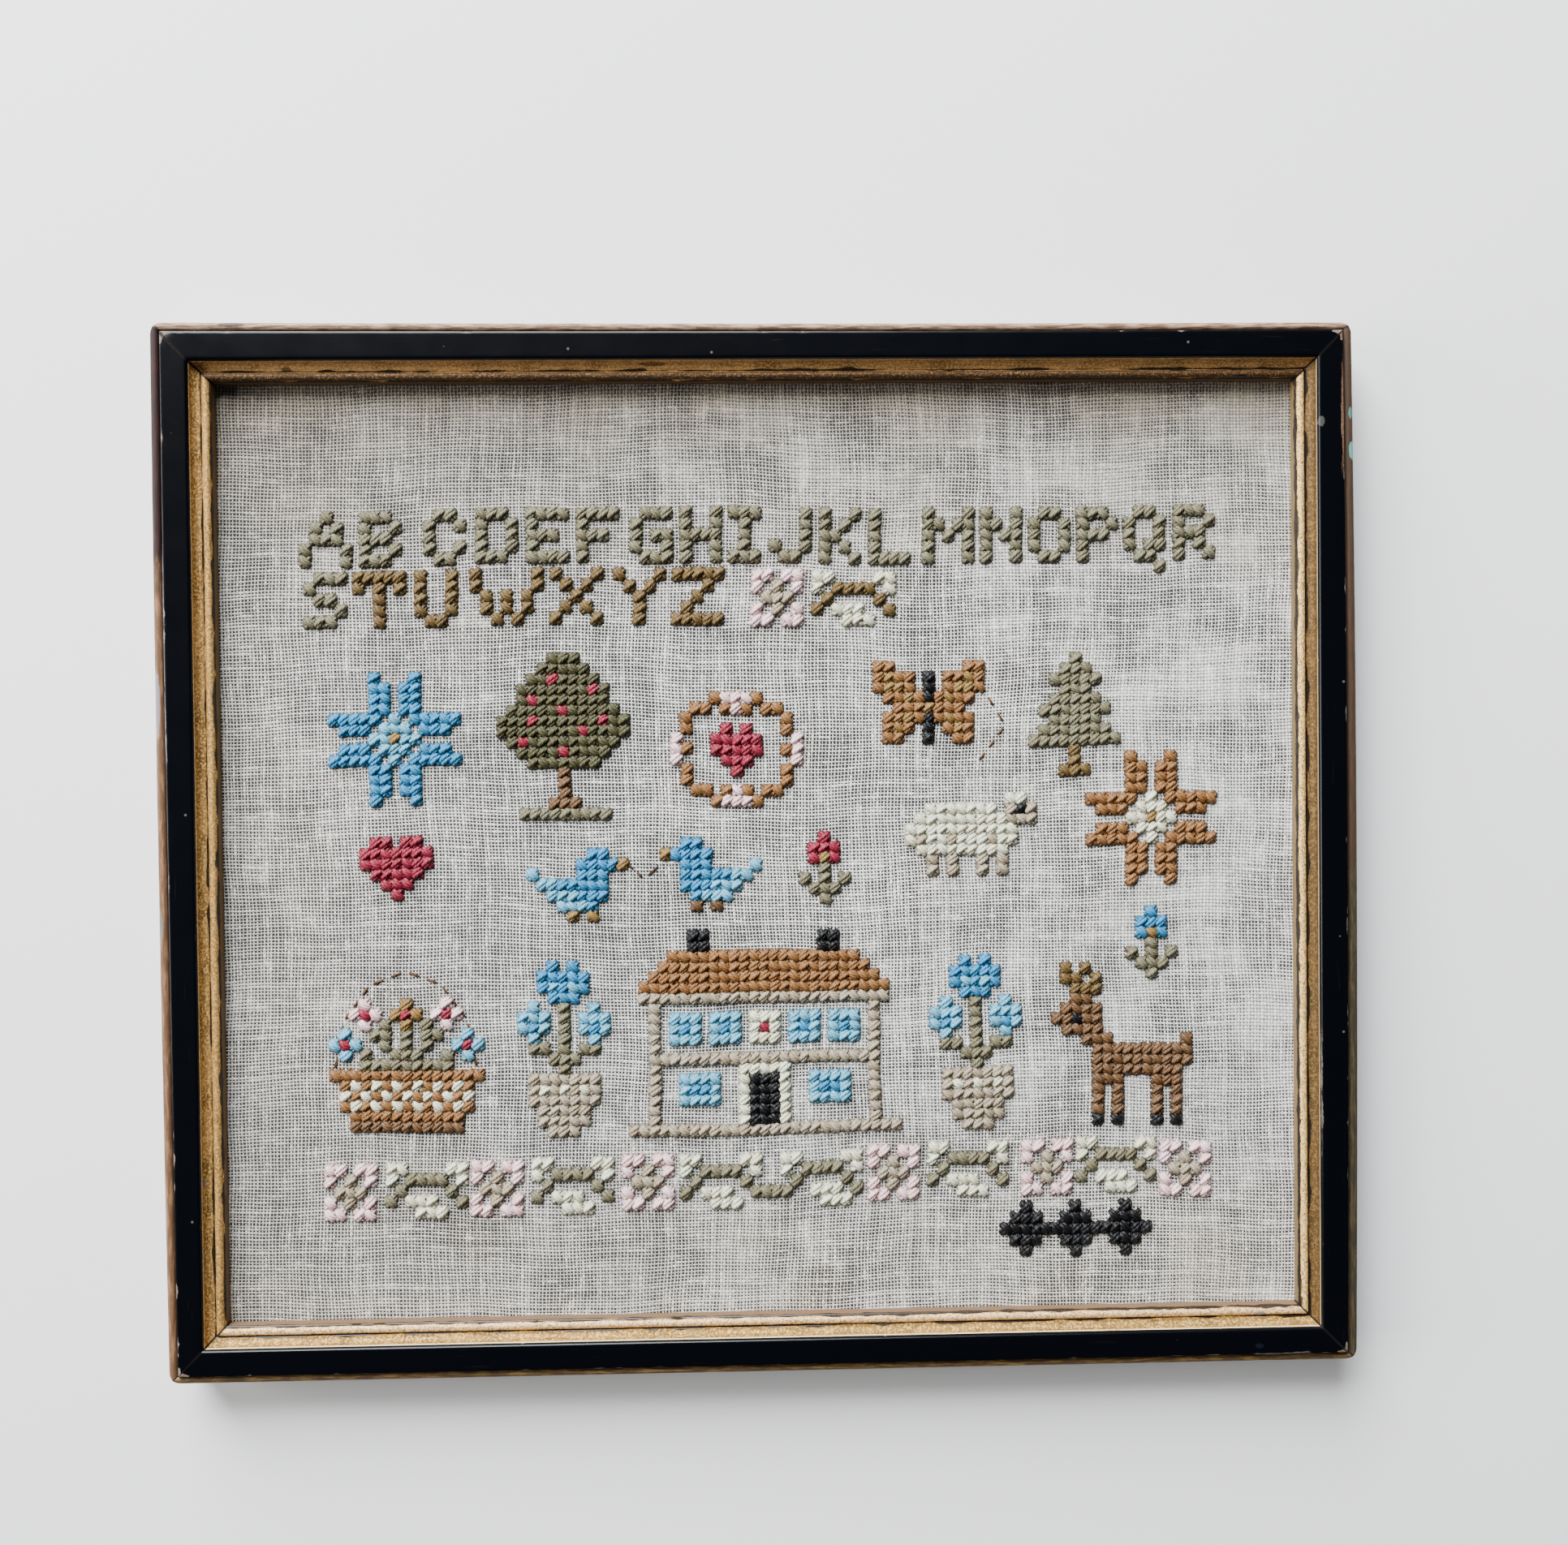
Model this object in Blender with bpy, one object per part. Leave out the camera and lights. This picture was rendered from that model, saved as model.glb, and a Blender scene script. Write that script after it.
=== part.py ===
"""A framed cross stitch sampler, lying on its back with its stitched face up.

Four mitred lengths of slim moulding hold a sheet of stretched linen, with a plain
board behind it. The origin is in the middle of the frame's back, +Y runs to the
sampler's top edge and +Z out of its face.
"""

import math
from typing import NamedTuple

import bmesh
import bpy
from mathutils import Matrix, Vector

MM = 0.001

# Outer size of the frame, and the gap that parted solids keep
FRAME_WIDTH = 0.250
FRAME_HEIGHT = 0.220
PART_GAP = 0.3 * MM

# Heights above the back of the frame
FACE_HEIGHT = 13.0 * MM
LIP_UNDERSIDE = 7.2 * MM

# The rebate behind the lip, as insets from the frame's outer edge
REBATE_INSET = 6.0 * MM
SIGHT_INSET = 11.3 * MM

# The sheet of linen and the board that backs it
CLOTH_THICKNESS = 1.2 * MM
BOARD_THICKNESS = 2.5 * MM
CLOTH_COLUMNS = 30
CLOTH_ROWS = 26
FLAT_MARGIN = 4.0 * MM
FULL_RISE_MARGIN = 26.0 * MM

# Worn corners, rounded in plan
CORNER_RADIUS = 1.7 * MM
CORNER_FACETS = (22.5, 45.0, 67.5)


class Arc(NamedTuple):
    """A round stretch of the moulding's section, in millimetres and degrees."""

    inset: float
    height: float
    radius: float
    start: float
    end: float
    steps: int


class Pucker(NamedTuple):
    """A soft swelling of the stretched cloth: where it is, its reach and its height."""

    x: float
    y: float
    along: float
    across: float
    turn: float
    rise: float


# Angles run from the outer side (180) over the top (90) to the inner side (0)
EDGE_BEAD = Arc(inset=0.75, height=11.05, radius=0.75, start=255.0, end=25.0, steps=9)
COVE = Arc(inset=9.25, height=11.87, radius=1.67, start=180.0, end=264.0, steps=6)
LIP_RIB = Arc(inset=10.25, height=9.95, radius=0.85, start=170.0, end=14.0, steps=8)

PUCKERS = (
    Pucker(x=-0.062, y=0.052, along=0.034, across=0.011, turn=24.0, rise=0.32 * MM),
    Pucker(x=0.028, y=0.071, along=0.040, across=0.010, turn=-8.0, rise=0.24 * MM),
    Pucker(x=0.074, y=0.018, along=0.012, across=0.034, turn=12.0, rise=0.30 * MM),
    Pucker(x=-0.018, y=-0.006, along=0.030, across=0.016, turn=-34.0, rise=0.36 * MM),
    Pucker(x=-0.080, y=-0.034, along=0.011, across=0.030, turn=-6.0, rise=0.26 * MM),
    Pucker(x=0.036, y=-0.052, along=0.038, across=0.012, turn=10.0, rise=0.30 * MM),
    Pucker(x=-0.030, y=-0.070, along=0.030, across=0.009, turn=3.0, rise=0.22 * MM),
)

# Name, turn about +Z, length along the rail, and how far out its outer edge stands
RAILS = (
    ("rail_top", 0.0, FRAME_WIDTH, FRAME_HEIGHT / 2),
    ("rail_left", 90.0, FRAME_HEIGHT, FRAME_WIDTH / 2),
    ("rail_bottom", 180.0, FRAME_WIDTH, FRAME_HEIGHT / 2),
    ("rail_right", 270.0, FRAME_HEIGHT, FRAME_WIDTH / 2),
)


def clear_scene() -> None:
    """Remove whatever the scene holds."""
    for item in list(bpy.data.objects):
        bpy.data.objects.remove(item)


def make_material(name: str, color: tuple, roughness: float) -> bpy.types.Material:
    """Return a plain Principled material."""
    material = bpy.data.materials.new(name)
    material.use_nodes = True
    shader = material.node_tree.nodes["Principled BSDF"]
    shader.inputs["Base Color"].default_value = (*color, 1.0)
    shader.inputs["Roughness"].default_value = roughness
    shader.inputs["Metallic"].default_value = 0.0
    return material


def add_object(name, mesh, material, collection) -> bpy.types.Object:
    """Link a named object that wears one material."""
    item = bpy.data.objects.new(name, mesh)
    mesh.materials.clear()
    mesh.materials.append(material)
    collection.objects.link(item)
    return item


def arc_points(arc: Arc) -> list:
    """Return the points of a round stretch as (inset, height) pairs in millimetres."""
    points = []
    for step in range(arc.steps + 1):
        angle = math.radians(arc.start + (arc.end - arc.start) * step / arc.steps)
        inset = arc.inset + arc.radius * math.cos(angle)
        height = arc.height + arc.radius * math.sin(angle)
        points.append((inset, height))
    return points


def moulding_section() -> list:
    """Return the moulding's closed section as (inset, height) pairs in metres.

    It climbs the outer wall, runs over the edge bead, the flat black face, the
    gilt cove and the lip's rib, drops down the sight wall and comes back through
    the rebate.
    """
    face = FACE_HEIGHT / MM
    lip = LIP_UNDERSIDE / MM
    sight = SIGHT_INSET / MM
    rebate = REBATE_INSET / MM
    outer_wall = [(0.55, 0.0), (0.55, 10.1)]
    black_face = [(1.52, 10.95), (1.60, 11.6), (2.10, face), (7.12, face), (7.56, 12.3)]
    sight_wall = [(sight, 9.8), (sight, lip)]
    rebate_walls = [(rebate, lip), (rebate, 0.0)]
    outline = outer_wall + arc_points(EDGE_BEAD) + black_face + arc_points(COVE)
    outline += arc_points(LIP_RIB) + sight_wall + rebate_walls
    return [(inset * MM, height * MM) for inset, height in outline]


def extruded_section(section: list, length: float, reach: float) -> bmesh.types.BMesh:
    """Return a straight length of moulding along X with its outer edge at +Y.

    Args:
        section: (inset, height) pairs of the closed outline.
        length: how long the piece is.
        reach: distance from the frame's middle to the rail's outer edge.
    """
    curve = bpy.data.curves.new("section", "CURVE")
    curve.dimensions = "2D"
    curve.fill_mode = "BOTH"
    curve.extrude = length / 2
    spline = curve.splines.new("POLY")
    spline.points.add(len(section) - 1)
    for point, (inset, height) in zip(spline.points, section):
        point.co = (reach - inset, height, 0.0, 1.0)
    spline.use_cyclic_u = True
    guide = bpy.data.objects.new("section", curve)
    bpy.context.scene.collection.objects.link(guide)
    bpy.context.view_layer.update()
    evaluated = guide.evaluated_get(bpy.context.evaluated_depsgraph_get())
    mesh = bpy.data.meshes.new_from_object(evaluated)
    solid = bmesh.new()
    solid.from_mesh(mesh)
    bpy.data.objects.remove(guide)
    bpy.data.meshes.remove(mesh)
    bmesh.ops.remove_doubles(solid, verts=solid.verts, dist=0.01 * MM)
    # The curve's X becomes +Y, its Y becomes +Z and its depth runs along X
    axes = Matrix(((0, 0, 1, 0), (1, 0, 0, 0), (0, 1, 0, 0), (0, 0, 0, 1)))
    bmesh.ops.transform(solid, matrix=axes, verts=solid.verts)
    return solid


def cut_off(solid: bmesh.types.BMesh, point: Vector, outward: Vector) -> None:
    """Cut away what lies beyond a plane and close the cut."""
    geometry = solid.verts[:] + solid.edges[:] + solid.faces[:]
    cut = bmesh.ops.bisect_plane(
        solid, geom=geometry, plane_co=point, plane_no=outward, dist=0.001 * MM, clear_outer=True
    )
    rim = [item for item in cut["geom_cut"] if isinstance(item, bmesh.types.BMEdge)]
    bmesh.ops.edgenet_fill(solid, edges=rim)


def mitre_ends(solid: bmesh.types.BMesh, length: float, reach: float) -> None:
    """Mitre both ends, half a gap short of the corner's diagonal, and round the tips."""
    for end in (-1.0, 1.0):
        corner = Vector((end * length / 2, reach, 0.0))
        mitre = Vector((end, -1.0, 0.0)).normalized()
        cut_off(solid, corner - mitre * PART_GAP / 2, mitre)
        centre = corner - Vector((end, 1.0, 0.0)) * CORNER_RADIUS
        for facet in CORNER_FACETS:
            angle = math.radians(facet)
            outward = Vector((end * math.cos(angle), math.sin(angle), 0.0))
            cut_off(solid, centre + outward * CORNER_RADIUS, outward)


def make_rail(name, turn, length, reach, material, collection) -> bpy.types.Object:
    """Build one mitred rail on its own side of the frame."""
    solid = extruded_section(moulding_section(), length, reach)
    mitre_ends(solid, length, reach)
    spin = Matrix.Rotation(math.radians(turn), 4, "Z")
    bmesh.ops.transform(solid, matrix=spin, verts=solid.verts)
    bmesh.ops.recalc_face_normals(solid, faces=solid.faces)
    mesh = bpy.data.meshes.new(name)
    solid.to_mesh(mesh)
    solid.free()
    mesh.set_sharp_from_angle(angle=math.radians(35.0))
    return add_object(name, mesh, material, collection)


def cloth_rise(x: float, y: float) -> float:
    """Return how far the stretched cloth stands off its board at a point.

    It lies flat where the lips cover it, and its puckers grow away from them.
    """
    from_side = FRAME_WIDTH / 2 - SIGHT_INSET - abs(x)
    from_end = FRAME_HEIGHT / 2 - SIGHT_INSET - abs(y)
    share = (min(from_side, from_end) - FLAT_MARGIN) / (FULL_RISE_MARGIN - FLAT_MARGIN)
    share = min(max(share, 0.0), 1.0)
    rise = 0.0
    for pucker in PUCKERS:
        angle = math.radians(pucker.turn)
        dx = x - pucker.x
        dy = y - pucker.y
        along = (dx * math.cos(angle) + dy * math.sin(angle)) / pucker.along
        across = (dy * math.cos(angle) - dx * math.sin(angle)) / pucker.across
        rise += pucker.rise * math.exp(-along * along - across * across)
    return rise * share * share * (3.0 - 2.0 * share)


def make_cloth(material, collection) -> bpy.types.Object:
    """Build the linen: one even sheet, a little puckered, held under the lips."""
    width = FRAME_WIDTH - 2 * (REBATE_INSET + PART_GAP)
    height = FRAME_HEIGHT - 2 * (REBATE_INSET + PART_GAP)
    under = LIP_UNDERSIDE - PART_GAP - CLOTH_THICKNESS
    solid = bmesh.new()
    bmesh.ops.create_grid(solid, x_segments=CLOTH_COLUMNS, y_segments=CLOTH_ROWS, size=0.5)
    bmesh.ops.scale(solid, vec=(width, height, 1.0), verts=solid.verts)
    sheet = bmesh.ops.extrude_face_region(solid, geom=solid.faces[:])
    upper = [item for item in sheet["geom"] if isinstance(item, bmesh.types.BMVert)]
    bmesh.ops.translate(solid, vec=(0.0, 0.0, CLOTH_THICKNESS), verts=upper)
    for vertex in solid.verts:
        vertex.co.z += under + cloth_rise(vertex.co.x, vertex.co.y)
    bmesh.ops.recalc_face_normals(solid, faces=solid.faces)
    mesh = bpy.data.meshes.new("cloth")
    solid.to_mesh(mesh)
    solid.free()
    return add_object("cloth", mesh, material, collection)


def make_board(material, collection) -> bpy.types.Object:
    """Build the flat board that the cloth is stretched over."""
    width = FRAME_WIDTH - 2 * (REBATE_INSET + PART_GAP)
    height = FRAME_HEIGHT - 2 * (REBATE_INSET + PART_GAP)
    cloth_underside = LIP_UNDERSIDE - PART_GAP - CLOTH_THICKNESS
    middle = cloth_underside - PART_GAP - BOARD_THICKNESS / 2
    solid = bmesh.new()
    bmesh.ops.create_cube(solid, size=1.0)
    bmesh.ops.scale(solid, vec=(width, height, BOARD_THICKNESS), verts=solid.verts)
    mesh = bpy.data.meshes.new("backing_board")
    solid.to_mesh(mesh)
    solid.free()
    board = add_object("backing_board", mesh, material, collection)
    board.location = (0.0, 0.0, middle)
    return board


def main() -> None:
    """Build the frame's rails, the cloth and its board."""
    clear_scene()
    collection = bpy.data.collections.new("framed_cross_stitch_sampler")
    bpy.context.scene.collection.children.link(collection)
    lacquer = make_material("black_and_gilt_wood", color=(0.018, 0.018, 0.024), roughness=0.4)
    linen = make_material("linen", color=(0.58, 0.56, 0.50), roughness=0.9)
    board = make_material("board", color=(0.36, 0.27, 0.17), roughness=0.85)
    for name, turn, length, reach in RAILS:
        make_rail(name, turn, length, reach, lacquer, collection)
    make_cloth(linen, collection)
    make_board(board, collection)


main()
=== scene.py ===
"""The looks of a framed cross stitch sampler that lies on its back.

Worn black and gilt moulding, open plain-weave linen with its thread-by-thread
unevenness, and every cross stitch as strands of floss laid over that cloth.
"""

import logging
import math
import random
from dataclasses import dataclass
from enum import Enum
from typing import NamedTuple

import bmesh
import bpy
import numpy as np
from mathutils import Euler, Matrix, Vector, noise


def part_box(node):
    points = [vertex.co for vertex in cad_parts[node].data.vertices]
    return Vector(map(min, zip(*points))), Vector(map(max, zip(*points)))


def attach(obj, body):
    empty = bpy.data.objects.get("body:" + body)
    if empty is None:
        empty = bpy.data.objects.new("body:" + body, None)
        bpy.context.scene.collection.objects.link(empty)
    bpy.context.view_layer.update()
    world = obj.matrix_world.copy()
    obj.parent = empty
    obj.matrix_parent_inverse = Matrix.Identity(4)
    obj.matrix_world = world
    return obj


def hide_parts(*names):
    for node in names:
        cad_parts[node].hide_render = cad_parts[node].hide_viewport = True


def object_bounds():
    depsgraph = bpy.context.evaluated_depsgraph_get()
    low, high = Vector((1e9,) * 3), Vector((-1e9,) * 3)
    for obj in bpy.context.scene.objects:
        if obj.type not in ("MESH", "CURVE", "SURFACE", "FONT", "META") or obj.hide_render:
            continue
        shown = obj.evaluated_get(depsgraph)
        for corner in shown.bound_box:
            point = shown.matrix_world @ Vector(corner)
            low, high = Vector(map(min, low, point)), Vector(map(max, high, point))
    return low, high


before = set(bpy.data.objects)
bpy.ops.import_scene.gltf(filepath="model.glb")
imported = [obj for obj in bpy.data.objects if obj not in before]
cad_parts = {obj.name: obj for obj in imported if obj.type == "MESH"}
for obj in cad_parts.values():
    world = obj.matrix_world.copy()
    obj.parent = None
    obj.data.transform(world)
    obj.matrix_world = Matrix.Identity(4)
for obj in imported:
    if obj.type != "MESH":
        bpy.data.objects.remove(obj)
CAD_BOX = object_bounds()

MM = 0.001
CLOTH_DROP = 0.3 * MM
LOG = logging.getLogger("sampler")

Color = tuple[float, float, float]


def tone(red: float, green: float, blue: float) -> Color:
    """Turn a display tone from 0 to 255 into the linear colour that shaders use."""

    def linear(channel: float) -> float:
        share = channel / 255.0
        return share / 12.92 if share <= 0.04045 else ((share + 0.055) / 1.055) ** 2.4

    return (linear(red), linear(green), linear(blue))


def ease(share):
    """Return a share from 0 to 1 eased at both ends."""
    share = np.clip(share, 0.0, 1.0)
    return share * share * (3.0 - 2.0 * share)


class Signal:
    """A shader socket that takes part in Python arithmetic."""

    def __init__(self, bench: "Bench", socket: bpy.types.NodeSocket) -> None:
        self.bench = bench
        self.socket = socket

    def math(self, operation: str, *others: "Signal | float") -> "Signal":
        """Add a Math node that starts from this socket.

        Args:
            operation: the Math node's operation.
            others: its further inputs.
        Returns:
            The node's result.
        """
        values = dict(enumerate((self, *others)))
        return self.bench.signal("ShaderNodeMath", {"operation": operation}, values)

    def __add__(self, other: "Signal | float") -> "Signal":
        """Add."""
        return self.math("ADD", other)

    __radd__ = __add__

    def __sub__(self, other: "Signal | float") -> "Signal":
        """Subtract."""
        return self.math("SUBTRACT", other)

    def __rsub__(self, other: float) -> "Signal":
        """Subtract this from a number."""
        values = {0: other, 1: self}
        return self.bench.signal("ShaderNodeMath", {"operation": "SUBTRACT"}, values)

    def __mul__(self, other: "Signal | float") -> "Signal":
        """Multiply."""
        return self.math("MULTIPLY", other)

    __rmul__ = __mul__

    def __truediv__(self, other: "Signal | float") -> "Signal":
        """Divide."""
        return self.math("DIVIDE", other)

    def __gt__(self, other: "Signal | float") -> "Signal":
        """Return 1 where this is greater."""
        return self.math("GREATER_THAN", other)

    def __abs__(self) -> "Signal":
        """Drop the sign."""
        return self.math("ABSOLUTE")

    def __pow__(self, power: float) -> "Signal":
        """Raise to a power."""
        return self.math("POWER", power)

    def floor(self) -> "Signal":
        """Round down."""
        return self.math("FLOOR")

    def fraction(self) -> "Signal":
        """Keep what is past the whole number."""
        return self.math("FRACT")

    def sine(self) -> "Signal":
        """Take the sine."""
        return self.math("SINE")

    def larger(self, other: "Signal | float") -> "Signal":
        """Take the larger of the two."""
        return self.math("MAXIMUM", other)

    def smaller(self, other: "Signal | float") -> "Signal":
        """Take the smaller of the two."""
        return self.math("MINIMUM", other)

    def rise(self, low: float, high: float) -> "Signal":
        """Ease from 0 at low to 1 at high; low may be the larger.

        Args:
            low: where the result is 0.
            high: where the result is 1.
        Returns:
            The eased share.
        """
        settings = {"interpolation_type": "SMOOTHSTEP"}
        values = {0: self, 1: min(low, high), 2: max(low, high), 3: 0.0, 4: 1.0}
        share = self.bench.signal("ShaderNodeMapRange", settings, values)
        return share if low < high else 1.0 - share

    def band(self, start: float, end: float, soft: float) -> "Signal":
        """Return 1 between two values, with soft edges.

        Args:
            start: where the band begins.
            end: where it ends.
            soft: how wide each edge is.
        Returns:
            The band's mask.
        """
        into = self.rise(start - soft / 2, start + soft / 2)
        return into * self.rise(end + soft / 2, end - soft / 2)


def sine(value: "Signal | float") -> "Signal | float":
    """Take the sine of a number, or of a signal in a shader."""
    return value.sine() if isinstance(value, Signal) else math.sin(value)


class Bench:
    """The node tree of one finish, around its Principled shader."""

    def __init__(self, name: str) -> None:
        self.material = bpy.data.materials.new(name)
        self.material.use_nodes = True
        self.tree = self.material.node_tree
        self.shader = self.tree.nodes["Principled BSDF"]

    def node(self, kind: str, settings: dict, values: dict) -> bpy.types.Node:
        """Add a node.

        Args:
            kind: the node's type.
            settings: its properties, which are set first.
            values: its sockets by name or number, as a number, a colour or a signal.
        Returns:
            The node.
        """
        node = self.tree.nodes.new(kind)
        for key, value in settings.items():
            setattr(node, key, value)
        for key, value in values.items():
            self.feed(node.inputs[key], value)
        return node

    def feed(self, socket: bpy.types.NodeSocket, value) -> None:
        """Link a signal to a socket, or set the socket's own value."""
        if isinstance(value, Signal):
            self.tree.links.new(value.socket, socket)
        elif socket.type == "RGBA":
            socket.default_value = (*value, 1.0)
        else:
            socket.default_value = value

    def signal(self, kind: str, settings: dict, values: dict, output: int | str = 0) -> Signal:
        """Add a node and return one of its outputs."""
        return Signal(self, self.node(kind, settings, values).outputs[output])

    def vector(self, x, y, z=0.0) -> Signal:
        """Join three numbers or signals into a vector."""
        return self.signal("ShaderNodeCombineXYZ", {}, {0: x, 1: y, 2: z})

    def parts(self, vector: Signal) -> tuple[Signal, Signal, Signal]:
        """Split a vector into its three numbers."""
        node = self.node("ShaderNodeSeparateXYZ", {}, {0: vector})
        return tuple(Signal(self, output) for output in node.outputs)

    def position_mm(self) -> tuple[Signal, Signal, Signal]:
        """Return the place on the piece in millimetres."""
        place = self.signal("ShaderNodeTexCoord", {}, {}, "Object")
        x, y, z = self.parts(place)
        return x * 1000.0, y * 1000.0, z * 1000.0

    def map_mm(self, name: str) -> tuple[Signal, Signal]:
        """Return the piece's own map, whose units are metres, in millimetres."""
        u, v, _ = self.parts(self.signal("ShaderNodeUVMap", {"uv_map": name}, {}))
        return u * 1000.0, v * 1000.0

    def attribute(self, name: str) -> Signal:
        """Return a number that the piece's points carry."""
        return self.signal("ShaderNodeAttribute", {"attribute_name": name}, {}, "Fac")

    def noise(self, vector: Signal, scale: float = 1.0, detail: float = 2.0) -> Signal:
        """Return a soft noise around a half."""
        values = {"Vector": vector, "Scale": scale, "Detail": detail}
        return self.signal("ShaderNodeTexNoise", {"noise_dimensions": "3D"}, values)

    def chance(self, number: Signal) -> Signal:
        """Return a fixed random share for each whole number."""
        return self.signal("ShaderNodeTexWhiteNoise", {"noise_dimensions": "1D"}, {"W": number})

    def specks(self, vector: Signal, scale: float, size: float) -> Signal:
        """Return a mask of small scattered dots.

        Args:
            vector: where to look.
            scale: dots to a unit.
            size: the dots' radius, as a share of their spacing.
        Returns:
            The mask.
        """
        values = {"Vector": vector, "Scale": scale, "Randomness": 1.0}
        near = self.signal("ShaderNodeTexVoronoi", {"voronoi_dimensions": "3D"}, values)
        return near.rise(size, size * 0.5)

    def mix(self, share: Signal | float, first, second) -> Signal:
        """Mix two colours."""
        settings = {"data_type": "RGBA", "clamp_factor": True}
        return self.signal("ShaderNodeMix", settings, {0: share, 6: first, 7: second}, 2)

    def tint(self, color, amount: Signal) -> Signal:
        """Scale a colour by a signal."""
        settings = {"operation": "SCALE"}
        return self.signal("ShaderNodeVectorMath", settings, {0: color, "Scale": amount})

    def relief(self, height: Signal, distance: float, strength: float = 1.0) -> Signal:
        """Turn a height into a normal; distance is the height of 1, in metres."""
        values = {"Height": height, "Distance": distance, "Strength": strength}
        return self.signal("ShaderNodeBump", {}, values)

    def dress(self, **sockets) -> bpy.types.Material:
        """Feed the shader's sockets, named with underscores, and return the finish."""
        for name, value in sockets.items():
            self.feed(self.shader.inputs[name.replace("_", " ")], value)
        return self.material


def add_piece(name: str, mesh: bpy.types.Mesh) -> bpy.types.Object:
    """Put a finished mesh in the scene as a piece that rides on the frame's one body."""
    piece = bpy.data.objects.new(name, mesh)
    bpy.context.scene.collection.objects.link(piece)
    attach(piece, "root")
    LOG.info("%s: %d faces", name, len(mesh.polygons))
    return piece


@dataclass(frozen=True)
class Weave:
    """The plain weave: its thread pitch and the slow wander of its threads, in mm."""

    pitch_x: float = 0.715
    pitch_y: float = 0.722

    def wander_x(self, x, y):
        """Return how far the upright threads stray at a place; numbers or signals."""
        slow = 0.55 * sine(y * 0.045 + x * 0.012 + 0.6)
        return slow + 0.26 * sine(y * 0.13 - x * 0.05 + 2.0) + 0.10 * sine(y * 0.33 + x * 0.21)

    def wander_y(self, x, y):
        """Return how far the level threads stray at a place; numbers or signals."""
        slow = 0.70 * sine(x * 0.041 - y * 0.02 + 1.1)
        return slow + 0.30 * sine(x * 0.12 + y * 0.07 + 0.4) + 0.12 * sine(x * 0.29 - y * 0.17)


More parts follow.
